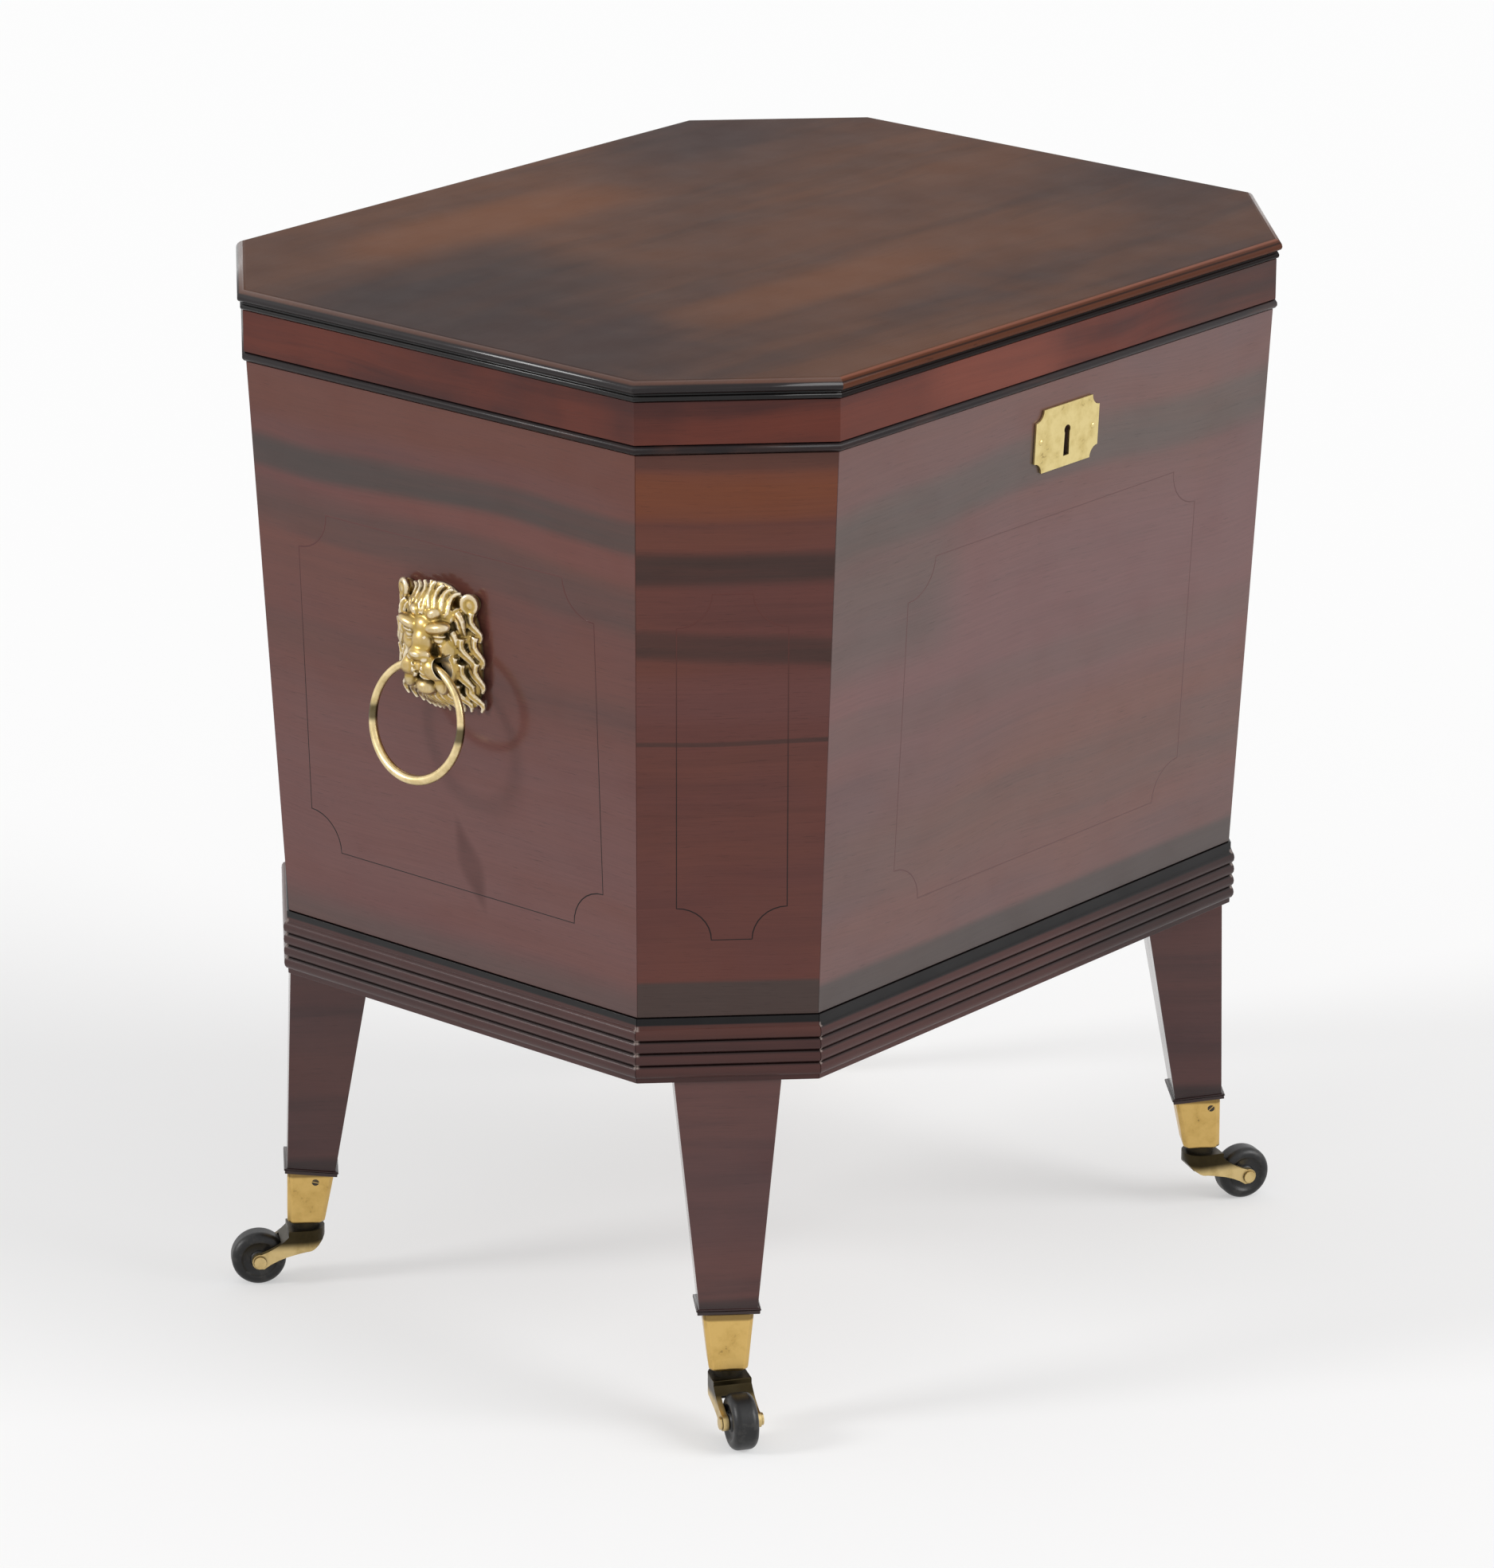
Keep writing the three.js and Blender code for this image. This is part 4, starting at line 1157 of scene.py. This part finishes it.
@dataclass
class Lid:
    """The moulded top, its frieze and the black cock bead."""

    edge: float = 0.3 * MM
    inside: float = 602.0 * MM

    def slot(self, face: bpy.types.MeshPolygon) -> LidSlot:
        """Chooses the material of one face of the top board.

        Args:
            face: The face.

        Returns:
            Its slot.
        """
        way = face.normal
        if way.z < -0.95 and face.center.z < self.inside:
            return LidSlot.INSIDE
        if abs(way.x) < 0.05 and way.y < -0.3:
            return LidSlot.NOSING
        return LidSlot.EDGE if way.z < 0.97 else LidSlot.VENEER

    def build(self) -> None:
        """Makes the three pieces."""
        top = Bench.eased("lid_top", "lid_board", self.edge, LONG_EDGE, 24, 40)
        flat = Mahogany(
            "lid_veneer", "3d2e2b", "5b3d2e", "302726", "342d2c", seed=3.3, lying=True,
            band_scale=5.0, streak_scale=34.0, streak_share=0.35, coat=0.0, gloss=0.02,
            bands=(
                Smoke(0.14, 0.028, 0.55, tone="74492f", centre=-0.07, reach=0.13),
                Smoke(-0.088, 0.02, 0.5, tone="70472f", centre=-0.06, reach=0.13),
                Smoke(0.05, 0.06, 0.8, centre=-0.19, reach=0.12, tone="352c2b"),
            ),
        )
        # The moulded edge below the top: near black under the nosing, a dark moulding with its painted shade, and
        # a thin warm line along the top arris, a painted highlight.
        edge = replace(
            flat, name="lid_edge", bands=(), coat=0.6, coat_roughness=0.1, gloss=0.1,
            stripes=(
                Stripe(0.5, 0.6064, "0b0909"), Stripe(0.6064, 0.6112, "191213"),
                Stripe(0.6112, 0.7, "5a382a", 0.6),
            ),
        )
        # The front faces of the edge get a lit copy: warm brown nosing as painted light where it faces the light,
        # a dark line across it, near black below as painted shade, and a thin pale orange top line as a painted
        # highlight.
        lit_nosing = replace(
            edge, name="lit_front_nosing", coat=0.12, gloss=0.04,
            stripes=(
                Stripe(0.5, 0.6064, "140d0c"), Stripe(0.6064, 0.7, "4e2817", 0.85),
                Stripe(0.6102, 0.6111, "1c0f0b", 0.8, 0.0003), Stripe(0.612, 0.7, "855240", 0.7, 0.0004),
            ),
        )
        dress(top, flat.material(), "lid_top", ["lid_top"])
        for more in (lit_nosing, PlainWood("lid_inside", "7a5038", "55362a"), edge):
            top.data.materials.append(more.material())
        for face in top.data.polygons:
            face.material_index = self.slot(face).value
        frieze = Bench.eased("lid_frieze", "lid_frieze_band", self.edge, LONG_EDGE)
        red = Mahogany(
            "frieze_veneer", "3b1f1d", "5c2b20", "291617", "302c2a", seed=9.4,
            band_scale=24.0, streak_scale=70.0, streak_share=0.5, flame_share=0.8, coat=0.35, gloss=0.1,
            bands=(
                Smoke(0.588, 0.03, 0.5, centre=0.17, reach=0.09),
                Smoke(0.589, 0.014, 0.8, centre=-0.06, reach=0.07, tone="70382a"),
            ),
        )
        dress(frieze, red.material(), "lid_frieze", ["lid_frieze"])
        bead = Bench.copy_node("lid_bead", "cock_bead")
        Bench.shade(bead, 42)
        dress(bead, Ebonised("cock_bead_black", coat=0.14).material(), "lid_bead", ["lid_bead"])


@dataclass
class Legs:
    """The four tapered legs."""

    edge: float = 0.6 * MM
    longer: float = 12.0 * MM

    def build(self) -> None:
        """Makes the legs."""
        for number, corner in enumerate(CORNERS):
            piece = Bench.eased(f"leg_{corner}", f"tapered_leg_{corner}", self.edge, self.longer)
            finish = Mahogany(
                f"leg_veneer_{corner}", "492d2c", "52312d", "352223", "241a1a",
                seed=14 + number, heading=math.tau * (2 * number + 1) / len(SIDES), band_scale=14.0,
                streak_scale=50.0, bands=(Smoke(0.0735, 0.007, 0.9),),
            )
            dress(piece, finish.material(), f"leg_{corner}", [f"leg_{corner}"])


@dataclass
class Screws:
    """Slotted countersunk screws, set where they are needed."""

    radius: float = 2.1 * MM
    proud: float = 0.06 * MM
    deep: float = 0.9 * MM
    slot: tuple[float, float, float] = (0.5 * MM, 10.0 * MM, 0.7 * MM)
    turns: tuple[float, float] = (0.5, 1.1)
    finish: Material | None = None

    def pattern(self) -> Piece:
        """Turns a screw's head about Z and cuts its slot.

        Returns:
            The screw, with the surface that it is sunk into at height 0.
        """
        radius, proud = self.radius, self.proud
        profile = [(0, -self.deep), (radius * 0.6, -self.deep), (radius, proud * 0.4)]
        head = Bench.spun("screw", [*profile, (radius * 0.96, proud), (0, proud)], 28)
        cutter = Bench.start(bpy.ops.mesh.primitive_cube_add, size=1)
        Bench.put(cutter, Matrix.Translation((0, 0, proud)) @ Matrix.Diagonal((*self.slot, 1)))
        Bench.apply(head, "BOOLEAN", object=cutter, operation="DIFFERENCE", solver="EXACT")
        bpy.data.objects.remove(cutter)
        return head

    def set(self, node: str, places: Sequence[tuple[Vector, Vector]]) -> None:
        """Sets screws into a fitting.

        Args:
            node: The CAD node that they hold.
            places: Where each head sits and which way it faces.
        """
        if self.finish is None:
            self.finish = Iron("screw_iron", "2b241d", "6b5b42", 0.5).material()
        screws = []
        for number, (point, normal) in enumerate(places):
            screw = self.pattern()
            spin = Matrix.Rotation(self.turns[0] + self.turns[1] * number, 4, "Z")
            Bench.put(screw, Matrix.Translation(point) @ Bench.facing(normal) @ spin)
            screws.append(screw)
        screws = Bench.joined(screws, f"screws_{node}")
        Bench.shade(screws, 30)
        dress(screws, self.finish, node)


@dataclass
class Casters:
    """The brass cups and horns and the iron wheels."""

    cup_edge: float = 0.5 * MM
    horn_edge: float = 0.4 * MM
    longer: float = 6.0 * MM
    wheel_radius: float = 16.0 * MM
    wheel_width: float = 14.5 * MM
    wheel_corner: float = 4.2 * MM
    wheel_face: tuple[tuple[float, float], ...] = (
        (2.7, 0), (4.2, 0), (5.0, 0.3), (5.6, 1.4), (9.0, 1.6), (10.4, 0.3), (11.0, 0)
    )
    screw_height: float = 65.5 * MM
    screw_shift: float = -5.0 * MM
    other_shift: dict[str, float] = field(default_factory=lambda: {"front_right": 5.5 * MM})
    probe: float = 100.0 * MM

    def cup_screws(self, cup: Piece, corner: str, screws: Screws) -> None:
        """Sets a screw into each side of a cup.

        Args:
            cup: The cup.
            corner: Which leg it is on.
            screws: The screws.
        """
        middle = sum((v.co for v in cup.data.vertices), Vector()) / len(cup.data.vertices)
        outward = Vector((middle.x / abs(middle.x), middle.y / abs(middle.y), 0)).normalized()
        sideways = Vector((-outward.y, outward.x, 0))
        shift = self.other_shift.get(corner, self.screw_shift)
        bpy.context.view_layer.update()
        places = []
        for sign in (1, -1):
            start = Vector((middle.x, middle.y, self.screw_height)) + outward * shift
            hit, point, normal, _ = cup.ray_cast(start + sideways * sign * self.probe, -sideways * sign)
            if hit:
                places.append((point, normal))
        screws.set(f"caster_cup_{corner}", places)

    def wheel(self) -> Piece:
        """Turns one wheel about Z: a rounded tread, a dished face and a raised hub.

        Returns:
            The wheel, at the origin.
        """
        radius, half, corner = self.wheel_radius, self.wheel_width / 2, self.wheel_corner
        upper = [(out * MM, half - deep * MM) for out, deep in self.wheel_face]
        for step in range(ARC_STEPS + 1):
            angle = math.tau / 4 * (step / ARC_STEPS)
            out, up = corner * math.sin(angle), corner * math.cos(angle)
            upper.append((radius - corner + out, half - corner + up))
        profile = upper + [(r, -z) for r, z in reversed(upper)]
        piece = Bench.spun("wheel", profile, 72)
        Bench.shade(piece, 50)
        for face in piece.data.polygons:
            rolls = face.center.xy.length > radius * 0.8 and abs(face.normal.z) < 0.6
            face.material_index = int(rolls)
        return piece

    def build(self) -> None:
        """Makes the four casters."""
        under_leg = Stripe(0.0688, 0.1, "6b5634", 0.75, 0.0008)
        cup_brass = Brass(
            "cup_brass", "d5b26c", "b79450", "3d2f16", 0.34, 2.0, 0.7, 0.9, dark_bands=(under_leg,)
        ).material()
        # The horn's hub and its neck under the cup are painted near black: painted shade.
        black = Stripe(0.0242, 0.1, "15120c", 0.95, 0.003)
        horn_brass = Brass(
            "horn_brass", "d6bd86", "9c8148", "1f150d", 0.34, 5.0, 0.9, 0.6, dark_bands=(black,)
        ).material()
        iron = Iron("wheel_iron", wear_and_sheen=0.15).material()
        # The tread's grey is wear and painted sheen.
        tread = Iron("wheel_tread", "2c2c2a", "77756e", 1.0).material()
        screws = Screws()
        pattern = self.wheel()
        spins = {joint["name"]: joint for joint in frame["joints"]}
        for corner in CORNERS:
            for part, finish, edge in (("cup", cup_brass, self.cup_edge), ("horn", horn_brass, self.horn_edge)):
                node = f"caster_{part}_{corner}"
                piece = Bench.eased(node, f"{part}_{corner}", edge, self.longer, 40, 40)
                dress(piece, finish, node, [node])
                if part == "cup":
                    self.cup_screws(piece, corner, screws)
            keep(f"caster_axle_{corner}", horn_brass)
            joint = spins[f"spin_{corner}"]
            turn = Bench.facing(Vector(joint["axis"]))
            piece = Bench.copy(pattern, f"wheel_{corner}")
            Bench.put(piece, Matrix.Translation(joint["pos_m"]) @ turn)
            dress(piece, iron, f"caster_wheel_{corner}", [f"caster_wheel_{corner}"])
            piece.data.materials.append(tread)
        bpy.data.objects.remove(pattern)


@dataclass(frozen=True)
class Lump:
    """One swelling of the lion's face in millimetres: x across the mask, y up it and z out of it."""

    at: tuple[float, float, float]
    size: tuple[float, float, float]
    tilt: float = 0.0


@dataclass(frozen=True)
class Lock:
    """One lock of hair from its root to its tip, in the same frame, with its thickness and its sway."""

    root: tuple[float, float, float]
    tip: tuple[float, float, float]
    thick: float
    sway: float


@dataclass
class Handles:
    """The lion masks, modelled from lumps and locks of hair, and the rings in their mouths."""

    middle: float = 436.68
    reach: float = 264.01
    lean: float = math.atan(12.1 / 324)
    half_width: float = 28.2
    overrun: float = 6.0
    mouth: tuple[float, float] = (-6.0, 17.8)
    ring_radius: float = 32.6
    ring_lean: float = math.radians(13)
    wire_top: float = 2.25
    wire_foot: float = 2.85
    room: float = 3.1
    grain: float = 0.5
    ear: tuple[float, float, float] = (24.2, 28.8, 5.4)
    ear_turn: float = 24.0
    lock_steps: int = 7
    ring_steps: int = 96
    stud: float = 3.5
    nut: tuple[float, float] = (6.5, 4.4)
    wall: float = 14.0
    face: tuple[Lump, ...] = (
        Lump((0, 0, 0.5), (28.5, 36.5, 5.5)),
        Lump((0, 7, 5), (18, 22, 10)),
        Lump((0, 21, 9), (12.5, 9, 8)),
        Lump((6.2, 22.4, 13.6), (5.4, 4.0, 4.8), 25),
        Lump((9.6, 15.6, 16.0), (9.6, 3.8, 5.4), 12),
        Lump((0, 14, 15.5), (7.2, 7, 5.2)),
        Lump((0, 6.5, 17.8), (7.0, 8, 5.2)),
        Lump((0, 0.4, 20.8), (8.2, 4.4, 4.6)),
        Lump((12.8, 3.5, 10.8), (6.8, 7.5, 6.2)),
        Lump((13.6, -8, 10.6), (6.2, 9, 6.4)),
        Lump((8.2, -7.6, 17.6), (9.0, 6.6, 6.6), -24),
        Lump((0, -7.0, 17.0), (7.0, 5.0, 6.4)),
        Lump((11.4, -16.4, 15.0), (4.2, 6.8, 5.2), 14),
        Lump((0, -19.8, 15.2), (7.2, 5.2, 6.2)),
        Lump((24, 28.6, 2.5), (5.0, 5.4, 4.6)),
        Lump((22.6, -4, 1.6), (6.2, 28.5, 5.2)),
    )
    details: tuple[Lump, ...] = (
        Lump((10.2, 8.8, 15.2), (3.7, 2.7, 3.2), -8),
        Lump((10.4, 11.2, 16.0), (5.4, 1.2, 2.8), 4),
        Lump((10.2, 6.2, 15.0), (4.8, 1.1, 2.3), -14),
        Lump((4.8, -1.6, 22.0), (2.7, 2.3, 2.6)),
        Lump((0, 0.6, 23.6), (4.4, 2.2, 2.2)),
    )
    locks: tuple[Lock, ...] = (
        Lock((3.0, -4.6, 22.0), (11.6, -7.4, 17.4), 1.5, 0.7),
        Lock((2.6, -7.2, 22.2), (12.0, -11.6, 16.6), 1.6, 0.7),
        Lock((2.2, -9.8, 21.4), (11.0, -15.6, 15.6), 1.5, 0.7),
        Lock((24.5, 24.0, 4.0), (28.6, 7.0, 2.6), 2.2, 1.6),
        Lock((27.0, 11.0, 4.2), (29.0, -8.0, 2.4), 2.3, 1.8),
        Lock((27.0, -4.0, 4.2), (28.4, -22.5, 2.2), 2.2, 1.8),
        Lock((24.0, -17.0, 4.6), (27.2, -33.8, 1.8), 2.1, 2.6),
        Lock((17.5, 23.5, 8.0), (24.4, 6.5, 6.2), 2.3, -1.8),
        Lock((20.5, 10.0, 8.8), (25.0, -9.0, 5.6), 2.4, 1.8),
        Lock((20.0, -5.0, 8.6), (23.6, -24.0, 5.0), 2.3, 1.8),
        Lock((16.5, -17.5, 9.0), (20.4, -34.6, 2.6), 2.1, 2.2),
        Lock((16.6, 13.5, 11.5), (19.6, -1.0, 9.0), 1.9, -1.4),
        Lock((17.6, -1.0, 11.0), (18.8, -15.5, 8.6), 1.9, 1.4),
        Lock((0.0, 22.0, 15.0), (1.6, 38.4, 7.0), 2.2, 1.4),
        Lock((2.6, 22.0, 14.5), (7.2, 37.2, 6.6), 2.1, 1.8),
        Lock((5.8, 23.4, 13.0), (12.8, 35.6, 5.4), 2.0, 1.8),
        Lock((8.6, 22.4, 12.0), (17.4, 33.6, 4.2), 1.9, 2.0),
        Lock((11.0, 19.6, 11.4), (20.6, 24.6, 6.0), 1.8, 1.6),
        Lock((0.9, -22.0, 14.0), (1.2, -36.2, 4.0), 1.8, 1.2),
        Lock((3.6, -22.0, 13.4), (5.2, -36.6, 3.4), 1.8, 1.6),
        Lock((6.8, -21.4, 12.0), (10.0, -36.2, 2.8), 1.8, 1.8),
        Lock((10.4, -20.0, 10.4), (15.2, -35.6, 2.4), 1.9, 2.0),
    )

    def lump(self, item: Lump, side: int) -> Piece:
        """Shapes one swelling from a ball.

        Args:
            item: The swelling.
            side: 1, or -1 for its mirror image.

        Returns:
            The ball, stretched and placed.
        """
        ball = Bench.start(bpy.ops.mesh.primitive_uv_sphere_add, segments=24, ring_count=14, radius=1)
        x, y, z = item.at
        turn = Matrix.Rotation(math.radians(item.tilt * side), 4, "Z")
        Bench.put(ball, Matrix.Translation((x * side, y, z)) @ turn @ Matrix.Diagonal((*item.size, 1)))
        return ball

    def lumps(self, items: Iterable[Lump]) -> list[Piece]:
        """Shapes swellings, and the mirror images of those that stand off the middle."""
        return [self.lump(item, side) for item in items for side in ((1, -1) if item.at[0] else (1,))]

    def lock(self, points: Sequence[Vector], thick: float, sideways: Vector) -> list[Piece]:
        """Lays a lock of hair as three strands that taper and twist round each other.

        Args:
            points: The lock's middle line.
            thick: The radius of a strand at its root.
            sideways: The way across the lock.

        Returns:
            The strands.
        """
        strands = []
        last = len(points) - 1
        for number in range(3):
            line = []
            for step, point in enumerate(points):
                share = step / last
                angle = math.tau * (number / 3 + 0.3 * share)
                wide = thick * 1.05 * (1 - 0.75 * share)
                lift = Vector((0, 0, wide * 0.6 * math.sin(angle)))
                line.append(point + sideways * wide * math.cos(angle) + lift)
            radii = [thick * (1 - 0.62 * step / last) for step in range(last + 1)]
            strands.append(Bench.wire("strand", line, radii))
        return strands

    def hair(self) -> list[Piece]:
        """Combs the forelock, the mane and the beard, each lock in a slow S.

        Returns:
            The strands.
        """
        strands = []
        for item in self.locks:
            for side in (1, -1):
                root, tip = (Vector((x * side, y, z)) for x, y, z in (item.root, item.tip))
                way = (tip - root).normalized()
                across = way.cross(UP).normalized()
                points = []
                for step in range(self.lock_steps + 1):
                    share = step / self.lock_steps
                    sway = across * item.sway * side * math.sin(math.tau * share)
                    lift = Vector((0, 0, item.thick * 0.8 * math.sin(math.pi * min(share * 1.3, 1))))
                    points.append(root.lerp(tip, share) + sway + lift)
                strands += self.lock(points, item.thick, across)
        return strands

    def ears(self) -> list[Piece]:
        """Curls the rim of each ear.

        Returns:
            The two rims.
        """
        rims = []
        for side in (1, -1):
            sizes = {"major_segments": 28, "minor_segments": 12, "major_radius": 3.9, "minor_radius": 1.7}
            rim = Bench.start(bpy.ops.mesh.primitive_torus_add, **sizes)
            x, y, z = self.ear
            turn = Matrix.Rotation(math.radians(self.ear_turn * side), 4, "Y")
            Bench.put(rim, Matrix.Translation((x * side, y, z)) @ turn @ Matrix.Diagonal((1, 1.15, 1, 1)))
            rims.append(rim)
        return rims

    def mouth_way(self) -> Piece:
        """The room in front of the ring, flaring to both sides, that its swing needs.

        Returns:
            The solid that is cut out of the head.
        """
        y, z = self.mouth
        half = self.half_width + self.overrun
        outer = []
        for step in range(-ARC_STEPS, ARC_STEPS + 1):
            along = half * step / ARC_STEPS
            sag = self.ring_radius - math.sqrt(max(self.ring_radius**2 - along**2, 0))
            outer.append((self.room + sag, along))
        tool = Bench.spun("mouth_way", [(0, -half), *outer, (0, half)], 40)
        Bench.put(tool, Matrix.Translation((0, y, z)) @ Matrix.Rotation(math.tau / 4, 4, "Y"))
        Bench.cut_below(tool, z - self.room)
        return tool

    def fixing(self) -> list[Piece]:
        """Turns the stud and its six-sided nut behind the mask.

        Returns:
            The stud and the nut.
        """
        parts = []
        across, thick = self.nut
        add = bpy.ops.mesh.primitive_cylinder_add
        for sides, radius, low, high in (
            (32, self.stud, -self.wall, 0.8),
            (6, across, -self.wall, thick - self.wall),
        ):
            part = Bench.start(add, vertices=sides, radius=radius, depth=high - low)
            Bench.put(part, Matrix.Translation((0, 0, (high + low) / 2)))
            Bench.ease(part, 0.4, 0.5, 50)
            parts.append(part)
        return parts

    def head(self) -> Piece:
        """Models the lion's head.

        Returns:
            The mask with its fixing, in millimetres, lying on its back at the origin.
        """
        face = Bench.joined(self.lumps(self.face), "face")
        Bench.apply(face, "REMESH", mode="VOXEL", voxel_size=self.grain * 1.4)
        Bench.apply(face, "SMOOTH", factor=0.5, iterations=9)
        head = Bench.joined([face, *self.lumps(self.details), *self.ears(), *self.hair()], "lion_head")
        Bench.apply(head, "REMESH", mode="VOXEL", voxel_size=self.grain)
        Bench.apply(head, "SMOOTH", factor=0.5, iterations=2)
        tool = self.mouth_way()
        Bench.apply(head, "BOOLEAN", object=tool, operation="DIFFERENCE", solver="EXACT")
        bpy.data.objects.remove(tool)
        Bench.cut_below(head, 0)
        return Bench.joined([head, *self.fixing()], "lion_head")

    def ring(self) -> Piece:
        """Bends the ring from wire that is thicker at the foot.

        Returns:
            The ring, in millimetres in the mask's frame.
        """
        y, z = self.mouth
        down = Vector((0, -math.cos(self.ring_lean), math.sin(self.ring_lean)))
        middle = Vector((0, y, z)) + down * self.ring_radius
        points, radii = [], []
        for step in range(self.ring_steps):
            angle = math.tau * step / self.ring_steps
            low = (1 - math.cos(angle)) / 2
            aside = Vector((self.ring_radius * math.sin(angle), 0, 0))
            points.append(middle - down * self.ring_radius * math.cos(angle) + aside)
            radii.append(self.wire_top + (self.wire_foot - self.wire_top) * low**2)
        return Bench.wire("ring", points, radii, True, 4)

    def place(self, side: int) -> Matrix:
        """Where a mask stands.

        Args:
            side: -1 for the left end of the case and 1 for the right.

        Returns:
            The way from the mask's frame in millimetres to the scene.
        """
        across = Vector((0, side, 0))
        up = Vector((side * math.sin(self.lean), 0, math.cos(self.lean)))
        turn = Matrix((across, up, across.cross(up))).transposed().to_4x4()
        at = Vector((side * self.reach, 0, self.middle)) * MM
        return Matrix.Translation(at) @ turn @ Matrix.Scale(MM, 4)

    def build(self) -> None:
        """Makes both handles."""
        # The mask's ridges get a pale painted highlight, and its hollows and creases get painted shade besides
        # patina.
        brass = Brass("mask_brass", "c2a35f", "98803d", "3c2f14", 0.3, 4.5, 0.8, 0.2, proud="f6ead2").material()
        # A dark band across the lower part of the ring: painted shade.
        dark_band = Stripe(0.3925, 0.4015, "2b2412", 0.85, 0.002)
        bent = Brass("ring_brass", "e9d3a2", "98803f", "33280f", 0.3, 3.0, 0.5, 0.4, dark_bands=(dark_band,)).material()
        head, ring = self.head(), self.ring()
        for side, name in ((-1, "left"), (1, "right")):
            pairs = ((head, "lion_head", "lion_mask", brass), (ring, "ring", "handle_ring", bent))
            for pattern, piece, node, finish in pairs:
                made = Bench.copy(pattern, f"{piece}_{name}")
                Bench.put(made, self.place(side))
                Bench.shade(made, 60)
                dress(made, finish, f"{node}_{name}", [f"{node}_{name}"])
        bpy.data.objects.remove(head)
        bpy.data.objects.remove(ring)


@dataclass
class LockAndHinges:
    """The escutcheon, the lock and the butt hinges, with the places of their screws in millimetres."""

    rim: float = 571.68
    lid: float = 571.98
    hinge_y: float = 214.2
    hinge_xs: tuple[float, ...] = (103, 125, 147)
    lock_y: float = -207.6
    lock_xs: tuple[float, ...] = (-32, 40)
    face_y: float = -201
    face_z: float = 530
    face_xs: tuple[float, ...] = (-33, 41)
    link_y: float = -207
    link_xs: tuple[float, ...] = (5.5, 38.5)

    @staticmethod
    def row(xs: Iterable[float], y: float, z: float, way: Vector) -> list[tuple[Vector, Vector]]:
        """The places of a row of screws that all face one way."""
        return [(Vector((x, y, z)) * MM, way) for x in xs]

    def build(self) -> None:
        """Makes the furniture."""
        brass = Brass("escutcheon_brass", "e2cf92", "bda55f", "5a4420", 0.36, 1.2, 0.6, 0.9).material()
        plate = Bench.copy_node("escutcheon", "escutcheon_plate")
        Bench.shade(plate, 40)
        dress(plate, brass, "escutcheon", ["escutcheon"])
        plain = Brass("lock_brass", "c6a35c", "9b7a41", "3a2a17", 0.36, 2.0, 0.6, 0.6).material()
        for name in SLOT_OF:
            if name.startswith(("hinge_", "lock_")):
                keep(name, plain)
        screws = Screws()
        inward = Vector((0, 1, 0))
        for side, sign in (("left", -1), ("right", 1)):
            xs = [sign * x for x in self.hinge_xs]
            screws.set(f"hinge_case_leaf_{side}", self.row(xs, self.hinge_y, self.rim, UP))
            screws.set(f"hinge_lid_leaf_{side}", self.row(xs, self.hinge_y, self.lid, -UP))
        places = self.row(self.lock_xs, self.lock_y, self.rim, UP)
        screws.set("lock_case", places + self.row(self.face_xs, self.face_y, self.face_z, inward))
        screws.set("lock_link_plate", self.row(self.link_xs, self.link_y, self.lid, -UP))


@dataclass
class Inside:
    """The zinc liner, the divisions and the bottom board."""

    def build(self) -> None:
        """Dresses the inner pieces."""
        keep("liner", Zinc().material())
        wood = PlainWood().material()
        turned = PlainWood("cross_division_wood", heading=math.tau / 4).material()
        for name in SLOT_OF:
            if name.startswith("divider_long") or name == "case_bottom":
                keep(name, wood)
            elif name.startswith("divider_cross"):
                keep(name, turned)


def main() -> None:
    """Builds the studio and the cellarette."""
    logging.basicConfig(level=logging.INFO, format="%(message)s")
    Studio().build()
    for assembly in (Case(), Base(), Lid(), Legs(), Casters(), Handles(), LockAndHinges(), Inside()):
        assembly.build()
        log.info("built %s", type(assembly).__name__)
    bpy.context.view_layer.update()


if __name__ == "__main__":
    main()
